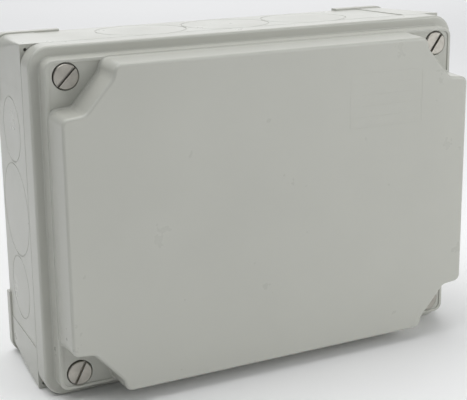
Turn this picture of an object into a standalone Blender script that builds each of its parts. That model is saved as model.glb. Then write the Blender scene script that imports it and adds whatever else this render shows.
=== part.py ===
"""Electrical junction box: a moulded base and a screw-down lid over a plate with a terminal strip.

Frame: X is the width, +Z is up, the lid faces -Y and the wall side faces +Y. The box stands on its
lower long side, so Z = 0 is the ground and X = Y = 0 is the middle of the box. All lengths are metres.
Places along the depth are counted from the front face of the lid and turned into Y by depth_y().
"""

import math

import bmesh
import bpy
from mathutils import Matrix, Vector

# ---------------------------------------------------------------- driving dimensions
WIDTH = 0.308
HEIGHT = 0.225
DEPTH = 0.120
CLEARANCE = 0.0003

# depths behind the lid's front face
PLATEAU = 0.0229
RIM = 0.0331
RIM_BACK = 0.0482
BASE_FRONT = 0.0488
BASE_FLOOR = 0.1150
BASE_BACK = 0.1180

# lid
LID_CORNER = 0.0135
LID_WALL = 0.0028
PANEL_MARGIN = 0.0080
PANEL_DRAFT = 0.0010
PANEL_ROUNDING = 0.0026
PANEL_CORNER = 0.0036
SHOULDER_MARGIN = 0.0069
SHOULDER_CORNER = 0.0090
NOTCH = ((0.0, 0.0298), (0.0148, 0.0284), (0.0328, 0.0080), (0.0342, 0.0))
CHANNEL_OUTER = 0.0020
CHANNEL_INNER = 0.0054
CHANNEL_FLOOR = 0.0414

# base
BASE_TAPER = 0.0020
BASE_WALL = 0.0044
REAR_CORNER = 0.0090
FRONT_CORNER = 0.0010
LIP_OUTER = 0.0028
LIP_TOP = 0.0458
FOOT_LENGTH = 0.0450
FOOT_FRONT = 0.1130
PANEL_RECESS = 0.0004
RECESS_START = 0.0012
CORNER_COLUMN = 0.0280
PEEP_HOLE_INSET = 0.0034
PEEP_HOLE_RADIUS = 0.0010
KNOCKOUT_DEPTH = 0.0825
KNOCKOUT_GROOVE = 0.0005
SIDE_KNOCKOUTS = ((-0.0536, 0.0212), (0.0, 0.0308), (0.0536, 0.0212))
DECK_KNOCKOUTS = ((-0.0620, 0.0302), (0.0, 0.0302), (0.0620, 0.0302))

# lid screws and their towers
SCREW_X = 0.1340
SCREW_Z = 0.0950
HEAD_RADIUS = 0.0078
HEAD_POCKET_RADIUS = 0.0084
HEAD_FRONT = 0.0225
HEAD_THICKNESS = 0.0034
POCKET_FLOOR = 0.0277
SCREW_TIP = 0.0628
SHANK_RADIUS = 0.0030
SHANK_BORE_RADIUS = 0.0036
LID_BOSS_RADIUS = 0.0105
TOWER_RADIUS = 0.0075
TOWER_FRONT = 0.0508
INSERT_LENGTH = 0.0140
INSERT_RADIUS = 0.0046
RIB_THICKNESS = 0.0024

# wall fixings
FIXING_X = 0.1230
FIXING_Z = 0.0845
FIXING_RADIUS = 0.0028
FIXING_BOSS_RADIUS = 0.0065
FIXING_BOSS_FRONT = 0.1120
CAP_RADIUS = 0.0061
CAP_RIM = 0.0015
CAP_STEM_RADIUS = 0.0024
CAP_LENGTH = 0.0060

# plate, rail and terminals
PLATE_WIDTH = 0.2300
PLATE_HEIGHT = 0.1600
PLATE_FRONT = 0.1065
PLATE_THICKNESS = 0.0015
PLATE_SCREW_X = 0.1050
PLATE_SCREW_Z = 0.0700
PLATE_BOSS_RADIUS = 0.0050
PLATE_BORE_RADIUS = 0.0022
PLATE_HOLE_RADIUS = 0.0024
PLATE_CORNER = 0.0040
RAIL_LENGTH = 0.2000
RAIL_WIDTH = 0.0350
RAIL_HAT = 0.0270
RAIL_DEPTH = 0.0075
RAIL_SHEET = 0.0010
RAIL_SCREW_X = 0.0850
RAIL_HOLE_RADIUS = 0.0023
TERMINAL_PITCH = 0.0100
TERMINAL_THICKNESS = 0.0094
TERMINAL_HEIGHT = 0.0470
TERMINAL_FRONT = 0.0680
TERMINAL_SCREW_Z = 0.0130
CLAMP_HOLE_RADIUS = 0.0031
TUNNEL_FRONT = 0.0785
TUNNEL_BACK = 0.0870
TUNNEL_WIDTH = 0.0064
BAR_WIDTH = 0.0056
BAR_LENGTH = 0.0360
BAR_THICKNESS = 0.0020
END_STOP_FRONT = 0.0820
END_STOP_HEIGHT = 0.0450
END_STOP_THICKNESS = 0.0090

ROUND = 24
SMALL_ROUND = 16
TINY_ROUND = 12
ARC = 4
CORNERS = (("top_left", -1, 1), ("top_right", 1, 1), ("bottom_left", -1, -1), ("bottom_right", 1, -1))


def depth_y(depth):
    """Y of a place that lies this far behind the lid's front face."""
    return depth - DEPTH / 2


def up_z(offset):
    """Z of a place that lies this far above the middle of the box."""
    return HEIGHT / 2 + offset


# ---------------------------------------------------------------- scene, collections, materials
def clear_scene():
    for obj in list(bpy.data.objects):
        bpy.data.objects.remove(obj, do_unlink=True)


def new_collection(name):
    collection = bpy.data.collections.new(name)
    bpy.context.scene.collection.children.link(collection)
    return collection


clear_scene()
PARTS = new_collection("electrical_junction_box")
CUTTERS = new_collection("cutters")


def material(name, colour, roughness, metallic=0.0):
    made = bpy.data.materials.new(name)
    made.use_nodes = True
    shader = made.node_tree.nodes["Principled BSDF"]
    shader.inputs["Base Color"].default_value = (*colour, 1.0)
    shader.inputs["Roughness"].default_value = roughness
    shader.inputs["Metallic"].default_value = metallic
    made.diffuse_color = (*colour, 1.0)
    return made


GREY_PLASTIC = material("grey_plastic", (0.40, 0.41, 0.38), 0.38)
SEAL_RUBBER = material("seal_rubber", (0.03, 0.03, 0.03), 0.75)
SCREW_METAL = material("screw_metal", (0.45, 0.44, 0.41), 0.35, 1.0)
BRASS = material("brass", (0.70, 0.50, 0.22), 0.35, 1.0)
ZINC_SHEET = material("zinc_sheet", (0.55, 0.57, 0.58), 0.40, 1.0)
TERMINAL_GREY = material("terminal_grey", (0.28, 0.29, 0.29), 0.50)
TERMINAL_BLUE = material("terminal_blue", (0.03, 0.16, 0.45), 0.50)
TERMINAL_EARTH = material("terminal_earth", (0.18, 0.38, 0.05), 0.50)
CAP_PLASTIC = material("cap_plastic", (0.30, 0.31, 0.29), 0.50)


# ---------------------------------------------------------------- building tools
def finish(name, bm, look, collection=PARTS, smooth=True):
    """Turns a bmesh into a named object, with its faces pointing out."""
    bmesh.ops.remove_doubles(bm, verts=bm.verts, dist=0.000001)
    bmesh.ops.recalc_face_normals(bm, faces=bm.faces)
    mesh = bpy.data.meshes.new(name)
    bm.to_mesh(mesh)
    bm.free()
    obj = bpy.data.objects.new(name, mesh)
    collection.objects.link(obj)
    if look is not None:
        mesh.materials.append(look)
    if smooth:
        mesh.shade_smooth()
        mesh.set_sharp_from_angle(angle=math.radians(35))
    return obj


def place(obj, x, depth, z):
    obj.location = (x, depth_y(depth), up_z(z))
    return obj


def cutter(name, bm):
    obj = finish(name, bm, None, CUTTERS, smooth=False)
    obj.hide_render = True
    obj.display_type = "WIRE"
    return obj


def combine(target, tool, operation):
    step = target.modifiers.new(f"{operation.lower()}_{tool.name}", "BOOLEAN")
    step.operation = operation
    step.solver = "EXACT"
    step.object = tool


def cut(target, *tools):
    for tool in tools:
        combine(target, tool, "DIFFERENCE")


def add(target, *tools):
    for tool in tools:
        combine(target, tool, "UNION")


def box(name, size, centre, look=None):
    """A box of size (x, depth, z) around centre (x, depth, z); a cutter if it has no look."""
    bm = bmesh.new()
    bmesh.ops.create_cube(bm, size=1.0)
    bmesh.ops.scale(bm, vec=size, verts=bm.verts)
    obj = cutter(name, bm) if look is None else finish(name, bm, look)
    return place(obj, *centre)


def rod(name, radius, front, back, x, z, segments=SMALL_ROUND):
    """A cylindrical tool along the depth, from front to back."""
    bm = bmesh.new()
    turn = Matrix.Rotation(math.radians(90), 3, "X")
    bmesh.ops.create_cone(
        bm, cap_ends=True, segments=segments, radius1=radius, radius2=radius, depth=back - front
    )
    bmesh.ops.rotate(bm, cent=(0, 0, 0), matrix=turn, verts=bm.verts)
    return place(cutter(name, bm), x, (front + back) / 2, z)


def turned(name, profile, x, depth, z, look, steps=SMALL_ROUND):
    """A turned piece: a profile of (radius, depth) points spun round the depth axis.

    A profile that starts on the axis ends on it, and any other is closed into a ring.
    """
    bm = bmesh.new()
    verts = [bm.verts.new((radius, 0.0, -along)) for radius, along in profile]
    following = verts[1:] if profile[0][0] == 0.0 else verts[1:] + verts[:1]
    for pair in zip(verts, following):
        bm.edges.new(pair)
    mesh = bpy.data.meshes.new(name)
    bm.to_mesh(mesh)
    bm.free()
    mesh.materials.append(look)
    obj = bpy.data.objects.new(name, mesh)
    PARTS.objects.link(obj)
    screw = obj.modifiers.new("turn", "SCREW")
    screw.axis = "Z"
    screw.steps = steps
    screw.render_steps = steps
    screw.use_merge_vertices = True
    screw.merge_threshold = 0.00001
    obj.rotation_euler = (math.radians(90), 0.0, 0.0)
    return place(obj, x, depth, z)


def rounded_points(width, height, radius):
    """Corner-rounded rectangle round the middle, as (x, z) points."""
    points = []
    centres = (
        (width / 2 - radius, height / 2 - radius, 0),
        (radius - width / 2, height / 2 - radius, 90),
        (radius - width / 2, radius - height / 2, 180),
        (width / 2 - radius, radius - height / 2, 270),
    )
    for centre_x, centre_z, start in centres:
        for step in range(ARC + 1):
            angle = math.radians(start + 90 * step / ARC)
            points.append((centre_x + radius * math.cos(angle), centre_z + radius * math.sin(angle)))
    return points


def loft(sections):
    """Closed solid through sections of equal point count, each (points, depth)."""
    bm = bmesh.new()
    rings = []
    for points, depth in sections:
        verts = [bm.verts.new((x, depth, z)) for x, z in points]
        edges = [bm.edges.new(pair) for pair in zip(verts, verts[1:] + verts[:1])]
        rings.append((verts, edges))
    for (_, near), (_, far) in zip(rings, rings[1:]):
        bmesh.ops.bridge_loops(bm, edges=near + far)
    bm.faces.new(rings[0][0])
    bm.faces.new(rings[-1][0])
    return bm


def middle(obj):
    """Puts a solid whose points are counted from the front face's middle in its place."""
    return place(obj, 0.0, 0.0, 0.0)


def plain_box(margin, radius, depth):
    """One lofting section: the box's outline drawn in by a margin."""
    return rounded_points(WIDTH - 2 * margin, HEIGHT - 2 * margin, radius), depth


def bevel_ring(bm, depth, width, segments):
    """Rounds every edge that lies in the plane at this depth."""
    edges = [e for e in bm.edges if all(abs(v.co.y - depth) < 0.00001 for v in e.verts)]
    bmesh.ops.bevel(
        bm, geom=edges, offset=width, segments=segments, profile=0.5, affect="EDGES", material=-1
    )


# ---------------------------------------------------------------- base housing
def make_base():
    """The deep moulded half: square at the sealing edge, round-cornered at the wall side."""
    bm = loft((
        plain_box(0.0, FRONT_CORNER, BASE_FRONT),
        plain_box(BASE_TAPER * 0.15, FRONT_CORNER * 2, BASE_FRONT + 0.005),
        plain_box(BASE_TAPER, REAR_CORNER, BASE_BACK - 0.0025),
        plain_box(BASE_TAPER + 0.0025, REAR_CORNER - 0.0020, BASE_BACK),
    ))
    base = middle(finish("base_housing", bm, GREY_PLASTIC))
    recess_walls(base)
    add_feet(base)
    cavity = loft((
        plain_box(BASE_WALL, LID_CORNER - BASE_WALL, LIP_TOP - 0.002),
        plain_box(BASE_WALL, LID_CORNER - BASE_WALL, BASE_FRONT),
        plain_box(BASE_WALL + 0.0008, REAR_CORNER - 0.0010, BASE_FLOOR),
    ))
    add(base, lip())
    cut(base, middle(cutter("base_cavity", cavity)))
    for name, side_x, side_z in CORNERS:
        add_tower(base, name, side_x, side_z)
    add_plate_bosses(base)
    cut_holes(base)
    groove_knockouts(base)
    return base


def lip():
    """The thin rib that stands up from the base's edge and presses into the gasket."""
    bm = loft((
        plain_box(LIP_OUTER, LID_CORNER - LIP_OUTER, LIP_TOP),
        plain_box(LIP_OUTER, LID_CORNER - LIP_OUTER, BASE_FRONT + 0.002),
    ))
    return middle(cutter("lip", bm))


def recess_walls(base):
    """Draws the middle of each wall in a little, so the four corners stand out as columns."""
    lean = math.atan(BASE_TAPER / (BASE_BACK - BASE_FRONT))
    start = BASE_FRONT + RECESS_START
    run = BASE_BACK + 0.002 - start
    middle_depth = start + run / 2
    inset = BASE_TAPER * (middle_depth - BASE_FRONT) / (BASE_BACK - BASE_FRONT)
    thick = 0.010
    for side in (-1, 1):
        reach = thick / 2 - PANEL_RECESS - inset
        wall = box(
            f"side_recess_{side}",
            (thick, run, HEIGHT - 2 * CORNER_COLUMN),
            (side * (WIDTH / 2 + reach), middle_depth, 0.0),
        )
        wall.rotation_euler = (0.0, 0.0, side * lean)
        deck = box(
            f"deck_recess_{side}",
            (WIDTH - 2 * CORNER_COLUMN, run, thick),
            (0.0, middle_depth, side * (HEIGHT / 2 + reach)),
        )
        deck.rotation_euler = (-side * lean, 0.0, 0.0)
        cut(base, wall, deck)


def add_feet(base):
    """Four corner blocks at the back, which stand proud of the walls and rest on the wall."""
    for name, side_x, side_z in CORNERS:
        bm = bmesh.new()
        bmesh.ops.create_cube(bm, size=1.0)
        bmesh.ops.scale(bm, vec=(FOOT_LENGTH, DEPTH - FOOT_FRONT, FOOT_LENGTH), verts=bm.verts)
        outer = [
            e for e in bm.edges
            if all(v.co.x * side_x > 0 and v.co.z * side_z > 0 for v in e.verts)
        ]
        bmesh.ops.bevel(
            bm, geom=outer, offset=REAR_CORNER, segments=ARC, profile=0.5, affect="EDGES", material=-1
        )
        foot = cutter(f"foot_{name}", bm)
        place(
            foot,
            side_x * (WIDTH - FOOT_LENGTH) / 2,
            (DEPTH + FOOT_FRONT) / 2,
            side_z * (HEIGHT - FOOT_LENGTH) / 2,
        )
        add(base, foot)


def add_tower(base, name, side_x, side_z):
    """A screw tower with two ribs to the walls, and the boss of a wall fixing beside it."""
    x = side_x * SCREW_X
    z = side_z * SCREW_Z
    wall_x = WIDTH / 2 - BASE_WALL / 2
    wall_z = HEIGHT / 2 - BASE_WALL / 2
    rib_front = TOWER_FRONT + 0.006
    rib_depth = BASE_FLOOR + 0.001 - rib_front
    rib_middle = rib_front + rib_depth / 2
    add(
        base,
        rod(f"tower_{name}", TOWER_RADIUS, TOWER_FRONT, BASE_FLOOR + 0.001, x, z),
        box(
            f"side_rib_{name}",
            (wall_x - SCREW_X, rib_depth, RIB_THICKNESS),
            (side_x * (wall_x + SCREW_X) / 2, rib_middle, z),
        ),
        box(
            f"deck_rib_{name}",
            (RIB_THICKNESS, rib_depth, wall_z - SCREW_Z),
            (x, rib_middle, side_z * (wall_z + SCREW_Z) / 2),
        ),
        rod(
            f"fixing_boss_{name}", FIXING_BOSS_RADIUS, FIXING_BOSS_FRONT, BASE_FLOOR + 0.001,
            side_x * FIXING_X, side_z * FIXING_Z,
        ),
    )


def add_plate_bosses(base):
    for name, side_x, side_z in CORNERS:
        x = side_x * PLATE_SCREW_X
        z = side_z * PLATE_SCREW_Z
        front = PLATE_FRONT + PLATE_THICKNESS + CLEARANCE
        add(base, rod(f"plate_boss_{name}", PLATE_BOSS_RADIUS, front, BASE_FLOOR + 0.001, x, z))


def cut_holes(base):
    insert_end = TOWER_FRONT + INSERT_LENGTH + 2 * CLEARANCE
    for name, side_x, side_z in CORNERS:
        tower_x = side_x * SCREW_X
        tower_z = side_z * SCREW_Z
        hole_x = side_x * (WIDTH / 2 - PEEP_HOLE_INSET)
        hole_z = side_z * (HEIGHT / 2 - PEEP_HOLE_INSET)
        cut(
            base,
            rod(
                f"insert_bore_{name}", INSERT_RADIUS + CLEARANCE, TOWER_FRONT - 0.008, insert_end,
                tower_x, tower_z,
            ),
            rod(
                f"screw_bore_{name}", SHANK_BORE_RADIUS, TOWER_FRONT + 0.002, TOWER_FRONT + 0.032,
                tower_x, tower_z,
            ),
            rod(
                f"fixing_hole_{name}", FIXING_RADIUS, FIXING_BOSS_FRONT - 0.010, DEPTH + 0.007,
                side_x * FIXING_X, side_z * FIXING_Z,
            ),
            rod(
                f"plate_bore_{name}", PLATE_BORE_RADIUS, PLATE_FRONT - 0.005, BASE_FLOOR - 0.0005,
                side_x * PLATE_SCREW_X, side_z * PLATE_SCREW_Z, segments=TINY_ROUND,
            ),
            rod(
                f"corner_hole_{name}", PEEP_HOLE_RADIUS, BASE_FRONT - 0.006, BASE_FRONT + 0.008,
                hole_x, hole_z, segments=TINY_ROUND,
            ),
        )


def groove_knockouts(base):
    """Thin round grooves that mark where a cable entry can be broken out of each wall."""
    slope = BASE_TAPER / (BASE_BACK - BASE_FRONT)
    lean = math.atan(slope)
    inset = slope * (KNOCKOUT_DEPTH - BASE_FRONT) + PANEL_RECESS
    middle_y = depth_y(KNOCKOUT_DEPTH)
    for side in (-1, 1):
        for number, (z, radius) in enumerate(SIDE_KNOCKOUTS):
            spot = (side * (WIDTH / 2 - inset), middle_y, up_z(z))
            turn = (0.0, math.radians(90), side * lean)
            cut(base, ring(f"side_knockout_{side}_{number}", radius, spot, turn))
        for number, (x, radius) in enumerate(DECK_KNOCKOUTS):
            spot = (x, middle_y, up_z(side * (HEIGHT / 2 - inset)))
            turn = (-side * lean, 0.0, 0.0)
            cut(base, ring(f"deck_knockout_{side}_{number}", radius, spot, turn))


def ring(name, radius, location, rotation):
    bpy.ops.mesh.primitive_torus_add(
        major_radius=radius, minor_radius=KNOCKOUT_GROOVE, major_segments=20, minor_segments=4,
        location=location, rotation=rotation,
    )
    made = bpy.context.object
    made.name = name
    made.hide_render = True
    made.display_type = "WIRE"
    for holder in list(made.users_collection):
        holder.objects.unlink(made)
    CUTTERS.objects.link(made)
    return made


# ---------------------------------------------------------------- lid
def offset_outline(points, distance):
    """Moves every side of a closed outline inwards by a distance, and finds the new corners."""
    moved = []
    count = len(points)
    for number in range(count):
        before = Vector(points[number - 1])
        here = Vector(points[number])
        after = Vector(points[(number + 1) % count])
        in_dir = (here - before).normalized()
        out_dir = (after - here).normalized()
        in_normal = Vector((-in_dir.y, in_dir.x))
        out_normal = Vector((-out_dir.y, out_dir.x))
        bisector = (in_normal + out_normal).normalized()
        moved.append(tuple(here + bisector * (distance / bisector.dot(in_normal))))
    return moved


def notched_outline(margin):
    """The raised panel's outline at plateau level, anticlockwise, with a screw notch at each corner."""
    half_x = WIDTH / 2 - margin
    half_z = HEIGHT / 2 - margin
    points = []
    for side_x, side_z, order in ((1, 1, 1), (-1, 1, -1), (-1, -1, 1), (1, -1, -1)):
        for inward_x, inward_z in NOTCH[::order]:
            points.append((side_x * (half_x - inward_x), side_z * (half_z - inward_z)))
    return points


def raised_panel(outline, front, back, front_rounding, corner_rounding):
    """A drafted block with a notched outline, its long corners rounded before its front edge."""
    draft = PANEL_DRAFT / PLATEAU
    near = offset_outline(outline, draft * (PLATEAU - front))
    far = offset_outline(outline, draft * (PLATEAU - back))
    bm = loft(((near, front), (far, back)))
    uprights = [e for e in bm.edges if abs(e.verts[0].co.y - e.verts[1].co.y) > 0.001]
    bmesh.ops.bevel(
        bm, geom=uprights, offset=corner_rounding, segments=2, profile=0.5, affect="EDGES", material=-1
    )
    bevel_ring(bm, front, front_rounding, 3)
    return bm


def shoulder(margin, front, back, radius, rounding):
    """The plateau that carries the screws, a plain drafted block under the raised panel."""
    bm = loft((plain_box(margin, radius, front), plain_box(margin - 0.0004, radius, back)))
    if rounding:
        bevel_ring(bm, front, rounding, 2)
    return bm


def make_lid():
    """The cover: a rim, a plateau with the screw pockets and a deep raised panel, all one shell."""
    bm = loft((plain_box(0.0, LID_CORNER, RIM), plain_box(0.0, LID_CORNER, RIM_BACK)))
    bevel_ring(bm, RIM, 0.0018, 3)
    lid = middle(finish("lid", bm, GREY_PLASTIC))
    outline = notched_outline(PANEL_MARGIN)
    inner = offset_outline(outline, LID_WALL)
    plateau = shoulder(SHOULDER_MARGIN, PLATEAU, RIM + 0.002, SHOULDER_CORNER, 0.0012)
    panel = raised_panel(outline, 0.0, RIM - 0.0020, PANEL_ROUNDING, PANEL_CORNER)
    hollow = raised_panel(inner, LID_WALL, RIM_BACK + 0.0025, 0.0012, 0.0024)
    under = shoulder(SHOULDER_MARGIN + 0.0030, PLATEAU + LID_WALL, RIM_BACK + 0.002, 0.0060, 0.0)
    add(
        lid,
        middle(cutter("lid_plateau", plateau)),
        middle(cutter("lid_panel", panel)),
    )
    cut(
        lid,
        middle(cutter("lid_hollow", hollow)),
        middle(cutter("lid_underside", under)),
    )
    cut(lid, gasket_channel())
    for name, side_x, side_z in CORNERS:
        x = side_x * SCREW_X
        z = side_z * SCREW_Z
        boss_back = POCKET_FLOOR + 0.0027
        add(lid, rod(f"lid_boss_{name}", LID_BOSS_RADIUS, PLATEAU + 0.001, boss_back, x, z))
        cut(
            lid,
            rod(
                f"head_pocket_{name}", HEAD_POCKET_RADIUS, PLATEAU - 0.008, POCKET_FLOOR, x, z,
                segments=ROUND,
            ),
            rod(f"lid_bore_{name}", SHANK_BORE_RADIUS, PLATEAU, boss_back + 0.003, x, z),
        )
    return lid


def frame_solid(outer_margin, inner_margin, front, back):
    """A closed rectangular ring with rounded corners, swept along the depth."""
    bm = bmesh.new()
    edges = []
    for margin in (outer_margin, inner_margin):
        points, _ = plain_box(margin, LID_CORNER - margin, front)
        verts = [bm.verts.new((x, front, z)) for x, z in points]
        edges += [bm.edges.new(pair) for pair in zip(verts, verts[1:] + verts[:1])]
    bmesh.ops.bridge_loops(bm, edges=edges)
    swept = bmesh.ops.extrude_face_region(bm, geom=list(bm.faces))
    moved = [item for item in swept["geom"] if isinstance(item, bmesh.types.BMVert)]
    bmesh.ops.translate(bm, vec=(0.0, back - front, 0.0), verts=moved)
    return bm


def gasket_channel():
    bm = frame_solid(CHANNEL_OUTER, CHANNEL_INNER, CHANNEL_FLOOR, RIM_BACK + 0.002)
    return middle(cutter("gasket_channel", bm))


def make_gasket():
    """The soft cord that fills the lid's channel and meets the base's rib."""
    bm = frame_solid(
        CHANNEL_OUTER + CLEARANCE, CHANNEL_INNER - CLEARANCE, CHANNEL_FLOOR + CLEARANCE, LIP_TOP - CLEARANCE
    )
    return middle(finish("lid_gasket", bm, SEAL_RUBBER))


# ---------------------------------------------------------------- lid screws, seals and inserts
def make_lid_screw(name, side_x, side_z, slot_angle):
    """A captive slotted screw: broad flat head, plain shank, chamfered tip."""
    bevel = 0.0004
    head_back = HEAD_THICKNESS
    tip = SCREW_TIP - HEAD_FRONT
    profile = (
        (0.0, 0.0),
        (HEAD_RADIUS - bevel, 0.0),
        (HEAD_RADIUS, bevel),
        (HEAD_RADIUS, head_back),
        (SHANK_RADIUS, head_back),
        (SHANK_RADIUS, tip - 0.0010),
        (SHANK_RADIUS - 0.0010, tip),
        (0.0, tip),
    )
    x = side_x * SCREW_X
    z = side_z * SCREW_Z
    screw = turned(f"lid_screw_{name}", profile, x, HEAD_FRONT, z, SCREW_METAL, ROUND)
    slot = box(f"slot_{name}", (0.0020, 0.0034, 0.0200), (x, HEAD_FRONT, z))
    slot.rotation_euler = (0.0, math.radians(slot_angle), 0.0)
    cut(screw, slot)
    return screw


def make_screw_seal(name, side_x, side_z):
    """The rubber washer under a lid screw's head."""
    front = HEAD_FRONT + HEAD_THICKNESS + CLEARANCE
    thick = POCKET_FLOOR - CLEARANCE - front
    inner = SHANK_RADIUS + CLEARANCE
    outer = 0.0066
    soft = 0.0003
    profile = (
        (inner, 0.0), (outer - soft, 0.0), (outer, soft), (outer, thick - soft), (outer - soft, thick),
        (inner, thick),
    )
    return turned(
        f"screw_seal_{name}", profile, side_x * SCREW_X, front, side_z * SCREW_Z, SEAL_RUBBER
    )


def make_tower_insert(name, side_x, side_z):
    """The brass bush pressed into a tower, which takes the lid screw."""
    inner = SHANK_RADIUS + 0.0004
    waist = INSERT_RADIUS - 0.0006
    profile = (
        (inner, 0.0), (INSERT_RADIUS, 0.0), (INSERT_RADIUS, 0.0055), (waist, 0.0062), (waist, 0.0078),
        (INSERT_RADIUS, 0.0085), (INSERT_RADIUS, INSERT_LENGTH), (inner, INSERT_LENGTH),
    )
    front = TOWER_FRONT + CLEARANCE
    return turned(
        f"tower_insert_{name}", profile, side_x * SCREW_X, front, side_z * SCREW_Z, BRASS
    )


def make_fixing_cap(name, side_x, side_z):
    """The insulating plug over the head of a wall-fixing screw."""
    profile = (
        (0.0, 0.0), (CAP_RADIUS - 0.0009, 0.0), (CAP_RADIUS, 0.0008), (CAP_RADIUS, CAP_RIM),
        (CAP_STEM_RADIUS, CAP_RIM), (CAP_STEM_RADIUS, CAP_LENGTH), (0.0, CAP_LENGTH),
    )
    front = FIXING_BOSS_FRONT - CLEARANCE - CAP_RIM
    return turned(
        f"fixing_cap_{name}", profile, side_x * FIXING_X, front, side_z * FIXING_Z, CAP_PLASTIC
    )


# ---------------------------------------------------------------- plate and rail
def make_plate():
    """The zinc-plated sheet that carries the rail."""
    bm = loft((
        (rounded_points(PLATE_WIDTH, PLATE_HEIGHT, PLATE_CORNER), PLATE_FRONT),
        (rounded_points(PLATE_WIDTH, PLATE_HEIGHT, PLATE_CORNER), PLATE_FRONT + PLATE_THICKNESS),
    ))
    plate = middle(finish("mounting_plate", bm, ZINC_SHEET, smooth=False))
    spots = [(side_x * PLATE_SCREW_X, side_z * PLATE_SCREW_Z) for _, side_x, side_z in CORNERS]
    spots += [(side * RAIL_SCREW_X, 0.0) for side in (-1, 1)]
    for number, (x, z) in enumerate(spots):
        cut(plate, sheet_hole(f"plate_hole_{number}", PLATE_HOLE_RADIUS, x, z))
    return plate


def sheet_hole(name, radius, x, z):
    """A tool that passes through the plate and the rail's bottom."""
    return rod(
        name, radius, PLATE_FRONT - 0.004, PLATE_FRONT + 0.005, x, z, segments=TINY_ROUND
    )


def make_pan_screw(name, head_front, x, z, head_radius, shank_radius, shank_back):
    """A small cross-recessed fastener with a domed head."""
    rise = head_radius * 0.55
    dome = [
        (head_radius * math.sin(math.radians(a)), rise * (1 - math.cos(math.radians(a))))
        for a in (0, 45, 90)
    ]
    under = rise + 0.0005
    profile = dome + [
        (head_radius, under), (shank_radius, under), (shank_radius, shank_back - head_front),
        (0.0, shank_back - head_front),
    ]
    screw = turned(name, profile, x, head_front, z, SCREW_METAL, TINY_ROUND)
    for turn in (0, 90):
        blade = box(f"{name}_cross_{turn}", (0.0008, 0.0022, head_radius * 1.1), (x, head_front, z))
        blade.rotation_euler = (0.0, math.radians(turn + 45), 0.0)
        cut(screw, blade)
    return screw


def make_rail():
    """The top-hat rail, one folded strip."""
    half = RAIL_WIDTH / 2
    hat = RAIL_HAT / 2 - RAIL_SHEET / 2
    front = RAIL_SHEET / 2
    back = RAIL_DEPTH - RAIL_SHEET / 2
    fold = ((half, front), (hat, front), (hat, back), (-hat, back), (-hat, front), (-half, front))
    bm = bmesh.new()
    left = [bm.verts.new((-RAIL_LENGTH / 2, depth, z)) for z, depth in fold]
    edges = [bm.edges.new(pair) for pair in zip(left, left[1:])]
    swept = bmesh.ops.extrude_edge_only(bm, edges=edges)
    moved = [item for item in swept["geom"] if isinstance(item, bmesh.types.BMVert)]
    bmesh.ops.translate(bm, vec=(RAIL_LENGTH, 0.0, 0.0), verts=moved)
    rail = finish("din_rail", bm, ZINC_SHEET, smooth=False)
    sheet = rail.modifiers.new("sheet", "SOLIDIFY")
    sheet.thickness = RAIL_SHEET
    sheet.offset = 0.0
    sheet.use_even_offset = True
    place(rail, 0.0, rail_front(), 0.0)
    for side in (-1, 1):
        cut(rail, sheet_hole(f"rail_hole_{side}", RAIL_HOLE_RADIUS, side * RAIL_SCREW_X, 0.0))
    return rail


def rail_front():
    return PLATE_FRONT - CLEARANCE - RAIL_DEPTH


# ---------------------------------------------------------------- terminals
def clip_outline(front, half_height):
    """Side view of a block that snaps over the rail, as (depth, z) points."""
    flange = rail_front()
    hook = RAIL_WIDTH / 2 + CLEARANCE
    under = flange + RAIL_SHEET + CLEARANCE
    foot = under + 0.0015
    half = (
        (flange - CLEARANCE, hook), (under, hook), (under, hook - 0.0012), (foot, hook - 0.0012),
        (foot, half_height - 0.0006), (flange - 0.008, half_height), (front + 0.006, half_height - 0.0012),
        (front, half_height - 0.0050),
    )
    return list(half) + [(depth, -z) for depth, z in reversed(half)]


def clip_block(name, x, front, half_height, thickness, look):
    bm = bmesh.new()
    outline = clip_outline(front, half_height)
    rings = []
    for side in (-1, 1):
        verts = [bm.verts.new((side * thickness / 2, depth, z)) for depth, z in outline]
        bm.faces.new(verts)
        rings.append([bm.edges.get(pair) for pair in zip(verts, verts[1:] + verts[:1])])
    bmesh.ops.bridge_loops(bm, edges=rings[0] + rings[1])
    return place(finish(name, bm, look, smooth=False), x, 0.0, 0.0)


def make_terminal(number, x, look):
    """One clamp terminal: an insulating body, a current bar in its tunnel, and two clamp screws."""
    body = clip_block(
        f"terminal_{number}", x, TERMINAL_FRONT, TERMINAL_HEIGHT / 2, TERMINAL_THICKNESS, look
    )
    tunnel_depth = TUNNEL_BACK - TUNNEL_FRONT
    cut(
        body,
        box(
            f"tunnel_{number}",
            (TUNNEL_WIDTH, tunnel_depth, TERMINAL_HEIGHT + 0.004),
            (x, (TUNNEL_FRONT + TUNNEL_BACK) / 2, 0.0),
        ),
        box(f"label_seat_{number}", (0.0070, 0.0016, 0.0090), (x, TERMINAL_FRONT, 0.0)),
    )
    bar_middle = TUNNEL_BACK - CLEARANCE - BAR_THICKNESS / 2
    bar_size = (BAR_WIDTH, BAR_THICKNESS, BAR_LENGTH)
    box(f"current_bar_{number}", bar_size, (x, bar_middle, 0.0), BRASS)
    for end, side in (("upper", 1), ("lower", -1)):
        z = side * TERMINAL_SCREW_Z
        hole_front = TERMINAL_FRONT - 0.006
        hole_name = f"clamp_hole_{number}_{end}"
        cut(body, rod(hole_name, CLAMP_HOLE_RADIUS, hole_front, TUNNEL_FRONT + 0.001, x, z))
        make_clamp_screw(f"clamp_screw_{number}_{end}", x, z)


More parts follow.
